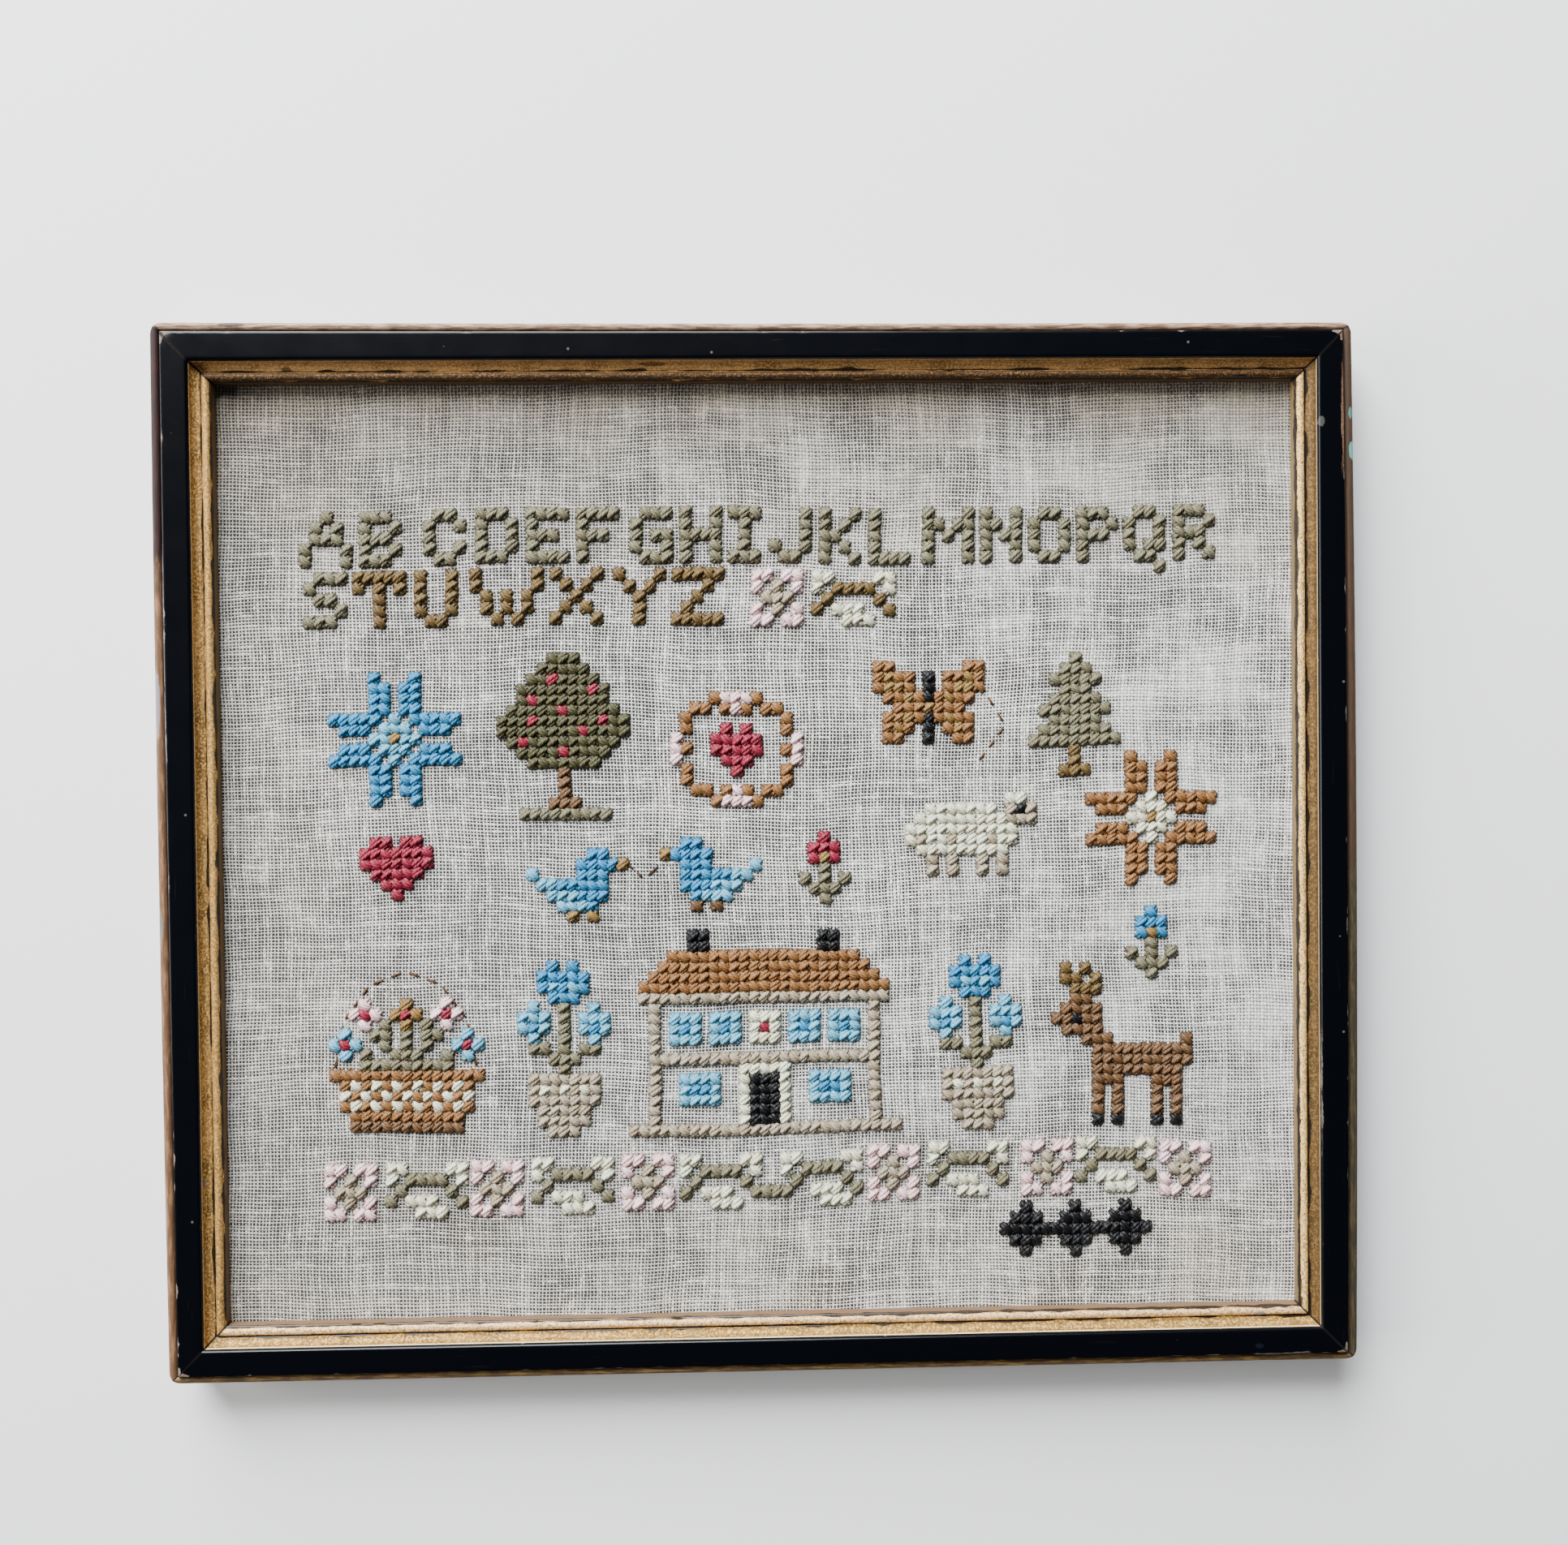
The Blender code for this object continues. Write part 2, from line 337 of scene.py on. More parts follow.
@dataclass(frozen=True)
class LinenFinish:
    """Grey-ivory linen, thread by thread, with painted shade in its holes where the board shows
    through.
    """

    weave: Weave
    thread: Color = tone(246, 245, 239)
    warm_thread: Color = tone(226, 208, 178)
    # The holes' tone is painted shade: the brown board behind the weave, in shadow
    hole: Color = tone(18, 17, 16)
    sheen: float = 0.25
    warp_seed: float = 3.1
    weft_seed: float = 57.9
    level: float = 0.62
    wave: float = 0.38
    thread_height: float = 0.20 * MM

    def threads(
        self, bench: Bench, across: Signal, along: Signal, fullness: Signal, seed: float
    ) -> tuple[Signal, Signal, Signal]:
        """Lay one set of threads.

        Args:
            bench: where the nodes go.
            across: position across the threads, in pitches.
            along: position along them, in pitches.
            fullness: where the yarn is fuller, from 0 to 1.
            seed: tells one set from the other.
        Returns:
            Each thread's mask, its rounded height and its own share of light.
        """
        number = across.floor()
        chance = bench.chance(number + seed)
        drift = bench.chance(number + seed + 71.3)
        slub = bench.noise(bench.vector(number * 5.3 + seed, along * 0.13), detail=2.0)
        stray = bench.noise(bench.vector(number * 3.1 + seed, along * 0.3, 5.0), detail=1.0)
        thick = slub.rise(0.57, 0.66)
        half = 0.065 + chance * 0.07 + slub * 0.16 + fullness * 0.23 + thick * 0.10
        middle = 0.5 + (drift - 0.5) * 0.15 + (stray - 0.5) * 0.26
        away = abs(across.fraction() - middle) / half
        mask = away.rise(1.12, 0.86)
        height = (1.0 - (away * away * 0.85).smaller(1.0)) ** 0.5
        return mask, height, chance + thick * 0.7

    def drawn(self, x: Signal, y: Signal) -> Signal:
        """Return how far the weave is drawn open, from 1 in the middle of the cloth to 0."""
        off_x = (x + 15.0) * 0.0100
        off_y = (y - 8.0) * 0.0125
        return (1.0 - off_x * off_x - off_y * off_y).larger(0.0)

    def fullness(
        self, bench: Bench, x: Signal, y: Signal, drawn: Signal
    ) -> tuple[Signal, Signal, Signal]:
        """Find where the yarn is fuller: in clouds, and in streaks along the threads.

        Args:
            bench: where the nodes go.
            x: place across the cloth in millimetres.
            y: place up the cloth in millimetres.
            drawn: how far the weave is drawn open.
        Returns:
            The clouds, the upright streaks and the level streaks.
        """
        full = bench.noise(bench.vector(x, y), scale=0.07, detail=4.0).rise(0.36, 0.64)
        full = full * (1.0 - x.rise(10.0, -110.0) * 0.5) * (1.0 - y.rise(-20.0, -90.0) * 0.4)
        full = full * (1.0 - drawn * 0.65) + x.rise(70.0, 115.0) * 0.2
        tall = bench.noise(bench.vector(x * 0.75, y * 0.07, 3.0), detail=3.0).rise(0.38, 0.66)
        wide = bench.noise(bench.vector(x * 0.07, y * 0.75, 9.0), detail=3.0).rise(0.38, 0.66)
        return full, tall, wide

    def material(self) -> bpy.types.Material:
        """Build the finish."""
        bench = Bench("linen")
        x, y, _ = bench.position_mm()
        across = (x + self.weave.wander_x(x, y)) / self.weave.pitch_x
        up = (y + self.weave.wander_y(x, y)) / self.weave.pitch_y
        ground = bench.vector(x, y)
        cloudy = bench.noise(ground, scale=0.045, detail=4.0)
        drawn = self.drawn(x, y)
        full, tall, wide = self.fullness(bench, x, y, drawn)

        # Two sets of threads, each over and under the other by turns
        warp_full = full * 0.65 + tall * 0.35 * (1.0 - drawn * 0.6)
        weft_full = full * 0.65 + wide * 0.35 * (1.0 - drawn * 0.6)
        warp_mask, warp_round, warp_chance = self.threads(
            bench, across, up, warp_full, self.warp_seed
        )
        weft_mask, weft_round, weft_chance = self.threads(
            bench, up, across, weft_full, self.weft_seed
        )
        warp_sign = 1.0 - (across.floor() * 0.5).fraction() * 4.0
        weft_sign = 1.0 - (up.floor() * 0.5).fraction() * 4.0
        warp_wave = (up * math.pi).sine() * warp_sign
        weft_wave = (across * math.pi).sine() * weft_sign
        warp = warp_mask * warp_round * (self.level + warp_wave * self.wave)
        weft = weft_mask * weft_round * (self.level - weft_wave * self.wave)
        height = warp.larger(weft)
        upper = warp > weft
        cover = warp_mask.larger(weft_mask)
        warp_fibre = bench.noise(bench.vector(x * 5.5, y * 0.9), detail=3.0)
        weft_fibre = bench.noise(bench.vector(x * 0.9, y * 5.5, 7.0), detail=3.0)
        fibre = weft_fibre + upper * (warp_fibre - weft_fibre)
        own = weft_chance + upper * (warp_chance - weft_chance)

        # Stains, more of them towards the foot of the cloth
        foot = y.rise(-55.0, -100.0)
        stain = bench.noise(ground, scale=0.04, detail=4.0).rise(0.46, 0.74) * (0.25 + foot * 0.75)
        yarn = bench.mix(stain * 0.55, self.thread, self.warm_thread)

        # Painted light and shade: each thread lighter on its crown, the cloth darker towards its
        # head and lighter to the right; the shaded head is warmer, and so are the edges
        light = 0.06 + own * 0.15 + fibre * 0.22 + height * 0.66 + (cloudy - 0.5) * 0.36
        # Painted light: the threads are brighter in the middle of the cloth, where the weave is
        # drawn open
        light = light * (0.80 + (wide + tall) * 0.10) * (1.0 + drawn * 0.12)
        head_shade = (y + (cloudy - 0.5) * 60.0).rise(40.0, 112.0)
        # Painted shadow along the top of the cloth, under the top rail
        rail_shadow = (y + (cloudy - 0.5) * 12.0).rise(84.0, 99.0)
        light = light * (1.0 - rail_shadow * 0.20)
        light = light * (1.0 - head_shade * 0.50) * (0.88 + x.rise(-110.0, 70.0) * 0.13)
        edges = x.rise(-40.0, -118.0) * 0.22 + y.rise(-50.0, -98.0) * 0.22
        warm_tone_and_shade = (head_shade * 0.5 + rail_shadow * 0.4 + edges + 0.05).smaller(0.9)
        yarn = bench.mix(warm_tone_and_shade, yarn, self.warm_thread)
        yarn = bench.tint(yarn, light)

        # Painted shade in the holes, a little lighter where the yarn is fuller
        hole_shade = bench.tint(self.hole, 0.7 + full * 0.8 + cloudy * 0.6)
        color = bench.mix(cover * 0.97, hole_shade, yarn)
        normal = bench.relief(height + fibre * 0.22, self.thread_height, 0.9)
        return bench.dress(
            Base_Color=color, Roughness=0.9, Normal=normal, Sheen_Weight=self.sheen,
            Sheen_Roughness=0.6, Specular_IOR_Level=0.2,
        )


class FlossTone(NamedTuple):
    """A floss: its letter in the charts and its display tone."""

    key: str
    color: Color


class Floss(Enum):
    """The flosses that the sampler is worked in."""

    SAGE = FlossTone("g", tone(106, 100, 76))
    OLIVE = FlossTone("o", tone(66, 63, 38))
    BROWN = FlossTone("b", tone(94, 73, 38))
    CARAMEL = FlossTone("c", tone(124, 84, 46))
    RUSSET = FlossTone("r", tone(96, 68, 42))
    MUSTARD = FlossTone("m", tone(124, 96, 50))
    TAN = FlossTone("t", tone(152, 138, 116))
    IVORY = FlossTone("w", tone(206, 203, 176))
    PINK = FlossTone("p", tone(226, 190, 188))
    SKY = FlossTone("s", tone(50, 120, 158))
    AQUA = FlossTone("a", tone(98, 158, 180))
    CRIMSON = FlossTone("x", tone(130, 32, 50))
    CHARCOAL = FlossTone("k", tone(11, 11, 13))


@dataclass(frozen=True)
class FlossFinish:
    """Soft twisted floss with a mild gloss, and painted shade in its ply grooves and low on each
    stitch.
    """

    floss: Floss
    ply_height: float = 0.06 * MM

    COOL = (0.90, 0.97, 1.06)

    def material(self) -> bpy.types.Material:
        """Build the finish."""
        bench = Bench(f"floss_{self.floss.name.lower()}")
        along, around = bench.map_mm("strand")
        own = bench.attribute("tone")
        turn = (along * 0.0035 + around * 0.005) * math.tau
        ply = turn.sine()
        fibre = bench.noise(bench.vector(along * 0.005, around * 0.022, own * 40.0), detail=3.0)
        depth = bench.attribute("crest")
        # Painted shade: darker down the grooves between plies, and much darker where the strand
        # sinks towards the cloth
        light = 0.78 + own * 0.24 + ply * 0.10 + (fibre - 0.5) * 0.9
        light = light * (0.30 + depth * 0.84)
        dyed = self.floss.value.color
        cool = tuple(channel * share for channel, share in zip(dyed, self.COOL))
        strand = bench.mix(own.rise(0.3, 0.8) * 0.8, dyed, cool)
        color = bench.tint(strand, light)
        normal = bench.relief(ply * 0.6 + fibre, self.ply_height, 0.8)
        return bench.dress(
            Base_Color=color, Roughness=0.46, Normal=normal, Specular_IOR_Level=0.26
        )


class Pucker(NamedTuple):
    """A low swell of the cloth: its middle, its reaches and its rise in metres."""

    x: float
    y: float
    reach_along: float
    reach_across: float
    turn: float
    rise: float


@dataclass(frozen=True)
class LinenSheet:
    """The stretched linen: a thin closed sheet, puckered a little off its board."""

    width: float
    height: float
    top: float
    sight_x: float
    sight_y: float
    thickness: float = 0.6 * MM
    columns: int = 110
    rows: int = 96
    flat_margin: float = 4.0 * MM
    full_margin: float = 26.0 * MM
    ripple: float = 0.05 * MM

    PUCKERS = (
        Pucker(-0.062, 0.052, 0.034, 0.011, 24.0, 0.32 * MM),
        Pucker(0.028, 0.071, 0.040, 0.010, -8.0, 0.24 * MM),
        Pucker(0.074, 0.018, 0.012, 0.034, 12.0, 0.30 * MM),
        Pucker(-0.018, -0.006, 0.030, 0.016, -34.0, 0.36 * MM),
        Pucker(-0.080, -0.034, 0.011, 0.030, -6.0, 0.26 * MM),
        Pucker(0.036, -0.052, 0.038, 0.012, 10.0, 0.30 * MM),
        Pucker(-0.030, -0.070, 0.030, 0.009, 3.0, 0.22 * MM),
    )

    def surface(self, x, y):
        """Return the height of the cloth's face at one place or at many."""
        from_side = self.sight_x - np.abs(x)
        from_end = self.sight_y - np.abs(y)
        inward = np.minimum(from_side, from_end) - self.flat_margin
        share = ease(inward / (self.full_margin - self.flat_margin))
        rise = 0.0
        for mid_x, mid_y, reach, depth, turn, swell in self.PUCKERS:
            angle = math.radians(turn)
            along = ((x - mid_x) * math.cos(angle) + (y - mid_y) * math.sin(angle)) / reach
            across = ((y - mid_y) * math.cos(angle) - (x - mid_x) * math.sin(angle)) / depth
            rise = rise + swell * np.exp(-along * along - across * across)
        ripple = self.ripple * np.sin(x * 410.0 + y * 160.0) * np.sin(y * 300.0 - x * 90.0)
        return self.top + (rise + ripple) * share

    def build(self, finish: LinenFinish) -> bpy.types.Object:
        solid = bmesh.new()
        bmesh.ops.create_grid(solid, x_segments=self.columns, y_segments=self.rows, size=0.5)
        bmesh.ops.scale(solid, vec=(self.width, self.height, 1.0), verts=solid.verts)
        lower = bmesh.ops.extrude_face_region(solid, geom=solid.faces[:])
        moved = [item for item in lower["geom"] if isinstance(item, bmesh.types.BMVert)]
        bmesh.ops.translate(solid, vec=(0.0, 0.0, -self.thickness), verts=moved)
        places = np.array([vertex.co[:2] for vertex in solid.verts])
        for vertex, height in zip(solid.verts, self.surface(places[:, 0], places[:, 1])):
            vertex.co.z += height
        bmesh.ops.recalc_face_normals(solid, faces=solid.faces)
        mesh = bpy.data.meshes.new("linen_sheet")
        solid.to_mesh(mesh)
        solid.free()
        mesh.shade_smooth()
        mesh.set_sharp_from_angle(angle=math.radians(50.0))
        mesh.materials.append(finish.material())
        piece = add_piece("linen_sheet", mesh)
        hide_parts("cloth")
        return piece


class Leg(NamedTuple):
    """One leg of a stitch, from hole to hole in metres, and how it lies."""

    start: tuple[float, float]
    end: tuple[float, float]
    floss: Floss
    rise: float
    half_width: float


class StrandBlank:
    """A straight strand, two units long, that every leg is bent from."""

    def __init__(self, sides: int = 5, rings: int = 5, shoulder: float = 0.66) -> None:
        blank = bmesh.new()
        bmesh.ops.create_cone(
            blank, cap_ends=True, segments=sides, radius1=1.0, radius2=1.0, depth=2.0
        )
        upright = [edge for edge in blank.edges if edge.verts[0].co.z != edge.verts[1].co.z]
        bmesh.ops.subdivide_edges(blank, edges=upright, cuts=rings - 2, use_grid_fill=False)
        blank.verts.ensure_lookup_table()
        self.points = np.array([vertex.co[:] for vertex in blank.verts])
        along = self.points[:, 2]
        inner = (np.abs(along) > 0.1) & (np.abs(along) < 0.9)
        self.points[:, 2] = np.where(inner, np.sign(along) * shoulder, along)
        self.faces = [[vertex.index for vertex in face.verts] for face in blank.faces]
        blank.free()

    def corner_map(self) -> np.ndarray:
        """Return each face corner's (share along, share around) for the strand map."""
        corners = []
        for face in self.faces:
            points = self.points[face]
            around = np.arctan2(points[:, 1], points[:, 0]) / math.tau
            if around.max() - around.min() > 0.5:
                around = np.where(around < 0.0, around + 1.0, around)
            corners.extend(zip((points[:, 2] + 1.0) / 2.0, around))
        return np.array(corners)


@dataclass
class FlossWork:
    """Bends strands of floss into stitches and joins them into one piece."""

    sheet: LinenSheet
    finishes: dict[Floss, bpy.types.Material]
    blank: StrandBlank
    strands: int = 3
    strand_width: float = 0.58
    sink: float = 0.22 * MM
    low_crest: float = 0.05 * MM
    full_crest: float = 0.95 * MM
    spread: float = 0.50
    stack: float = 0.22
    flatness: float = 0.66
    narrowing: float = 0.36

    TURN = (-0.9, 0.9)
    TWIST = (0.35, 0.95)
    STRAND_WIDTHS = (0.88, 1.14)
    LEG_WIDTHS = (0.92, 1.10)
    STRAND_TONES = (-0.25, 0.25)

    def bend(self, legs: list[Leg], seed: int) -> tuple[np.ndarray, np.ndarray, np.ndarray]:
        """Lay every strand of every leg over the cloth.

        Args:
            legs: the legs to lay.
            seed: fixes the unevenness.
        Returns:
            The points of all strands, strand by strand, each strand's own tone, and how
            high each point stands, from 0 to 1.
        """
        chance = np.random.default_rng(seed)
        count = len(legs) * self.strands
        start = np.repeat([leg.start for leg in legs], self.strands, axis=0)
        end = np.repeat([leg.end for leg in legs], self.strands, axis=0)
        rise = np.repeat([leg.rise for leg in legs], self.strands)
        half = np.repeat([leg.half_width for leg in legs], self.strands)
        turn = np.repeat(chance.uniform(*self.TURN, len(legs)), self.strands)
        turn = turn + np.tile(np.arange(self.strands) * math.tau / self.strands, len(legs))
        twist = np.repeat(chance.uniform(*self.TWIST, len(legs)), self.strands)
        fat = chance.uniform(*self.STRAND_WIDTHS, count)
        fat = fat * np.repeat(chance.uniform(*self.LEG_WIDTHS, len(legs)), self.strands)
        bow = np.repeat(chance.normal(0.0, 0.08 * MM, len(legs)), self.strands)
        bow = bow + chance.normal(0.0, 0.03 * MM, count)
        shade = np.repeat(chance.uniform(0.0, 1.0, len(legs)), self.strands)
        shade = np.clip(shade + chance.uniform(*self.STRAND_TONES, count), 0.0, 1.0)

        along = self.blank.points[None, :, 2]
        share = (along + 1.0) / 2.0
        line = end - start
        reach = np.linalg.norm(line, axis=1)
        side = np.stack([-line[:, 1], line[:, 0]], axis=1) / reach[:, None]
        taper = 1.0 - self.narrowing * np.abs(along) ** 5
        angle = turn[:, None] + twist[:, None] * along
        offset = half[:, None] * self.spread * np.cos(angle) * taper
        lift = half[:, None] * self.stack * np.sin(angle) * taper
        width = half[:, None] * self.strand_width * fat[:, None] * taper
        across = offset + width * self.blank.points[None, :, 0] + bow[:, None] * (1 - along**2)
        crown = rise[:, None] * (1.0 - np.abs(along) ** 3.0) - self.sink * np.abs(along) ** 6
        up = crown + lift + width * self.flatness * self.blank.points[None, :, 1]
        plan = start[:, None, :] + line[:, None, :] * share[:, :, None]
        plan = plan + side[:, None, :] * across[:, :, None]
        middle = (start + end) / 2.0
        ground = self.sheet.surface(middle[:, 0], middle[:, 1])
        height = ground[:, None] + up
        points = np.concatenate([plan, height[:, :, None]], axis=2)
        # How high each point stands; the floss finish paints its shade from this
        crest = ease((up + self.low_crest) / self.full_crest)
        return points.reshape(-1, 3), shade, crest.ravel()

    def build(self, name: str, legs: list[Leg], seed: int) -> bpy.types.Object:
        """Join all the strands of a motif into one piece.

        Args:
            name: the piece's name.
            legs: its legs.
            seed: fixes the unevenness.
        Returns:
            The piece.
        """
        points, shade, crest = self.bend(legs, seed)
        size = len(self.blank.points)
        flosses = sorted({leg.floss for leg in legs}, key=lambda floss: floss.name)
        faces = []
        colors = []
        for number in range(len(shade)):
            first = number * size
            faces.extend([[first + index for index in face] for face in self.blank.faces])
            slot = flosses.index(legs[number // self.strands].floss)
            colors.extend([slot] * len(self.blank.faces))
        mesh = bpy.data.meshes.new(name)
        mesh.from_pydata(points.tolist(), [], faces)
        for floss in flosses:
            mesh.materials.append(self.finishes[floss])
        mesh.polygons.foreach_set("material_index", colors)
        corners = np.tile(self.blank.corner_map(), (len(shade), 1))
        layer = mesh.uv_layers.new(name="strand")
        layer.uv.foreach_set("vector", corners.astype(np.float32).ravel())
        tones = mesh.attributes.new("tone", "FLOAT", "POINT")
        tones.data.foreach_set("value", np.repeat(shade, size).astype(np.float32))
        crests = mesh.attributes.new("crest", "FLOAT", "POINT")
        crests.data.foreach_set("value", crest.astype(np.float32))
        mesh.shade_smooth()
        mesh.update()
        return add_piece(name, mesh)


@dataclass(frozen=True)
class Chart:
    """A charted motif: a letter for each cross, from its top left corner in mm."""

    name: str
    left: float
    top: float
    rows: tuple[str, ...]
    pitch_x: float = 2.13
    pitch_y: float = 2.17


# Block capitals, with a slash between their rows; the sampler goes without one of them
CAPITALS = {
    "A": "..#../.#.#./.###./#...#/#...#",
    "B": "###./#..#/###./#..#/###.",
    "C": ".##./#..#/#.../#..#/.##.",
    "D": "###./#..#/#..#/#..#/###.",
    "E": "####/#.../###./#.../####",
    "F": "####/#.../###./#.../#...",
    "G": ".###/#.../#.##/#..#/.###",
    "H": "#..#/#..#/####/#..#/#..#",
    "I": "###/.#./.#./.#./###",
    "J": "...#/...#/...#/#..#/.##.",
    "K": "#..#/#.#./##../#.#./#..#",
    "L": "#.../#.../#.../#.../####",
    "M": "#...#/##.##/#.#.#/#...#/#...#",
    "N": "#..#/##.#/#.##/#..#/#..#",
    "O": ".##./#..#/#..#/#..#/.##.",
    "P": "###./#..#/###./#.../#...",
    "Q": ".##./#..#/#..#/#.##/.##./...#",
    "R": "###./#..#/###./#.#./#..#",
    "S": ".###/#.../.##./...#/###.",
    "T": "#####/#.#.#/..#../..#../..#..",
    "U": "#..#/#..#/#..#/#..#/.##.",
    "W": "#.....#/#.....#/.#.#.#./.#.#.#./..#.#..",
    "X": "#...#/.#.#./..#../.#.#./#...#",
    "Y": "#...#/.#.#./..#../..#../..#..",
    "Z": "#####/...#./..#../.#.../#####",
}

FLOWER = (
    "pp.pp",
    "p.t.p",
    ".ttt.",
    "p.t.p",
    "pp.pp",
)

ARCH = (
    "ww....ww",
    "w.gggg.w",
    ".g....g.",
    "g.www..g",
    "...www..",
)

TWIN_ARCH = (
    "ww....ww..ww....ww",
    "w.gggg.w..w.gggg.w",
    ".g....g....g....g.",
    "g.www..gggg..www.g",
    "...www........www.",
)

HOUSE = (
    "......kk...........kk......",
    "......kk...........kk......",
    "....ccccccccccccccccccc....",
    "...ccccccccccccccccccccc...",
    "..ccccccccccccccccccccccc..",
    ".ccccccccccccccccccccccccc.",
    ".ttttttttttttttttttttttttt.",
    "..t.....................t..",
    "..t.aaa.aaa.www.aaa.aaa.t..",
    "..t.asa.asa.wxw.asa.asa.t..",
    "..t.aaa.aaa.www.aaa.aaa.t..",
    "..t.....................t..",
    "..ttttttttttttttttttttttt..",
    "..t........wwwww........t..",
    "..t..aaaa..wkkkw..aaaa..t..",
    "..t..assa..wkkkw..assa..t..",
    "..t..aaaa..wkkkw..aaaa..t..",
    "..t........wkkkw........t..",
    "..t........wkkkw........t..",
    "ttttttttttttttttttttttttttt",
)

TULIPS = (
    "...s.s...",
    "..sssss..",
    "..sasas..",
    "...sss...",
    ".a..g..a.",
    "aaa.g.aaa",
    "asa.g.asa",
    ".a..g..a.",
    ".gg.g.gg.",
    "...ggg...",
    "....g....",
    ".ttttttt.",
    ".twtwtwt.",
    ".ttttttt.",
    "..ttttt..",
    "..ttttt..",
    "...ttt...",
)

STAG = (
    ".b.b...........",
    ".bb.b..........",
    "..bbb..........",
    "..rr...........",
    ".rrrr..........",
    "rrkrr..........",
    ".rrrr..........",
    "...rrr.......r.",
    "....rrrrrrrrrr.",
    "....rrrrrrrrrr.",
    "....rrrrrrrrr..",
    "....rrr...rrr..",
    "....r.r...r.r..",
    "....r.r...r.r..",
    "....r.r...r.r..",
    "....k.k...k.k..",
)

BASKET = (
    "...p...m...p...",
    "..pxp.mxm.pxp..",
    "...p.g.m.g.p...",
    ".a..gg.g.gg..a.",
    "axa..g.g.g..axa",
    ".a.g..ggg..g.a.",
    "...ggggggggg...",
    "ccccccccccccccc",
    ".cwcwcwcwcwcwc.",
    ".wcwcwcwcwcwcw.",
    ".cwcwcwcwcwcwc.",
    "..ccccccccccc..",
    "..rrrrrrrrrrr..",
)

STAR = (
    "....s...s....",
    "....ss.ss....",
    "....ss.ss....",
    "....ss.ss....",
    "sssss.a.sssss",
    ".sss.aaa.sss.",
    "....aamaa....",
    ".sss.aaa.sss.",
    "sssss.a.sssss",
    "....ss.ss....",
    "....ss.ss....",
    "....ss.ss....",
    "....s...s....",
)

APPLE_TREE = (
    ".....ooo.....",
    "....ooooo....",
    "...ooxoooo...",
    "..oooooooxo..",
    "..oxooooooo..",
    ".oooooxooooo.",
    "oooxooooooxoo",
    "ooooooooxoooo",
    ".oxooooooooo.",
    "..ooooxoooo..",
    "...ooooooo...",
    "......r......",
    "......r......",
    "......r......",
    ".....rrr.....",
    "..ggggggggg..",
)

WREATH = (
    "....cpppc....",
    "..cc.cpc.cc..",
    ".c.........c.",
    ".c...x.x...c.",
    "p...xxxxx...p",
    "pc..xxxxx..cp",
    "p....xxx....p",
    ".c....x....c.",
    ".c.........c.",
    "..cc.cpc.cc..",
    "....cpppc....",
)

PINE = (
    "....g....",
    "...ggg...",
    "..ggggg..",
    "...ggg...",
    "..ggggg..",
    ".ggggggg.",
    "..ggggg..",
    ".ggggggg.",
    "ggggggggg",
    "....b....",
    "....b....",
    "...bbb...",
)

BUTTERFLY = (
    "cc.......cc",
    "cmcc.k.ccmc",
    "cmmc.k.cmmc",
    ".ccmckcmcc.",
    "..cccmccc..",
    ".ccmckcmcc.",
    ".cmc.k.cmc.",
    ".cc..k..cc.",
)

SHEEP = (
    "..........ww.",
    "..wwwwwww.tkt",
    ".wwwwwwwwwttt",
    "wwwwwwwwwww..",
    "wtwwtwwwtww..",
    ".wwwwwwwww...",
    "..t.t..t.t...",
    "..t.t..t.t...",
)

BIRD = (
    "......ss..",
    ".....ssssm",
    "a....sss..",
    ".aasssss..",
    "..aaasss..",
    "...aaas...",
    "....r.r...",
)

HEART = (
    ".xx.xx.",
    "xxxxxxx",
    "xxxxxxx",
    ".xxxxx.",
    "..xxx..",
    "...x...",
)

SPRIG = (
    "..x..",
    ".xxx.",
    ".xmx.",
    "..g..",
    "g.g.g",
    ".ggg.",
    "..g..",
)

DIAMONDS = (
    "..k....k....k..",
    ".kkk..kkk..kkk.",
    "kkkkkkkkkkkkkkk",
    ".kkk..kkk..kkk.",
    "..k....k....k..",
)


def mirrored(rows: tuple[str, ...]) -> tuple[str, ...]:
    """Return a chart turned round to face the other way."""
    return tuple(row[::-1] for row in rows)


def recolored(rows: tuple[str, ...], old: str, new: str) -> tuple[str, ...]:
    """Return a chart with one floss exchanged for another."""
    return tuple(row.replace(old, new) for row in rows)


class LetterRow(NamedTuple):
    """A row of the alphabet: its top, its stitch, and each letter's floss and left in mm."""

    name: str
    top: float
    pitch_x: float
    pitch_y: float
    letters: tuple[tuple[str, str, float], ...]


FIRST_ROW = LetterRow("alphabet_first_row", 72.4, 2.13, 2.30, (
    ("A", "g", -96.3), ("B", "g", -83.9), ("C", "g", -70.4), ("D", "g", -59.6),
    ("E", "g", -49.0), ("F", "g", -38.5), ("G", "g", -27.3), ("H", "g", -16.9),
    ("I", "g", -6.6), ("J", "g", 2.0), ("K", "g", 12.6), ("L", "g", 23.2),
    ("M", "g", 34.6), ("N", "g", 47.0), ("O", "g", 57.3), ("P", "g", 67.6),
    ("Q", "g", 77.6), ("R", "g", 88.2),
))

SECOND_ROW = LetterRow("alphabet_second_row", 59.6, 2.15, 2.35, (
    ("S", "g", -95.5), ("T", "b", -85.3), ("U", "b", -72.4), ("W", "b", -60.9),
    ("X", "b", -44.2), ("Y", "b", -30.9), ("Z", "b", -18.6),
))

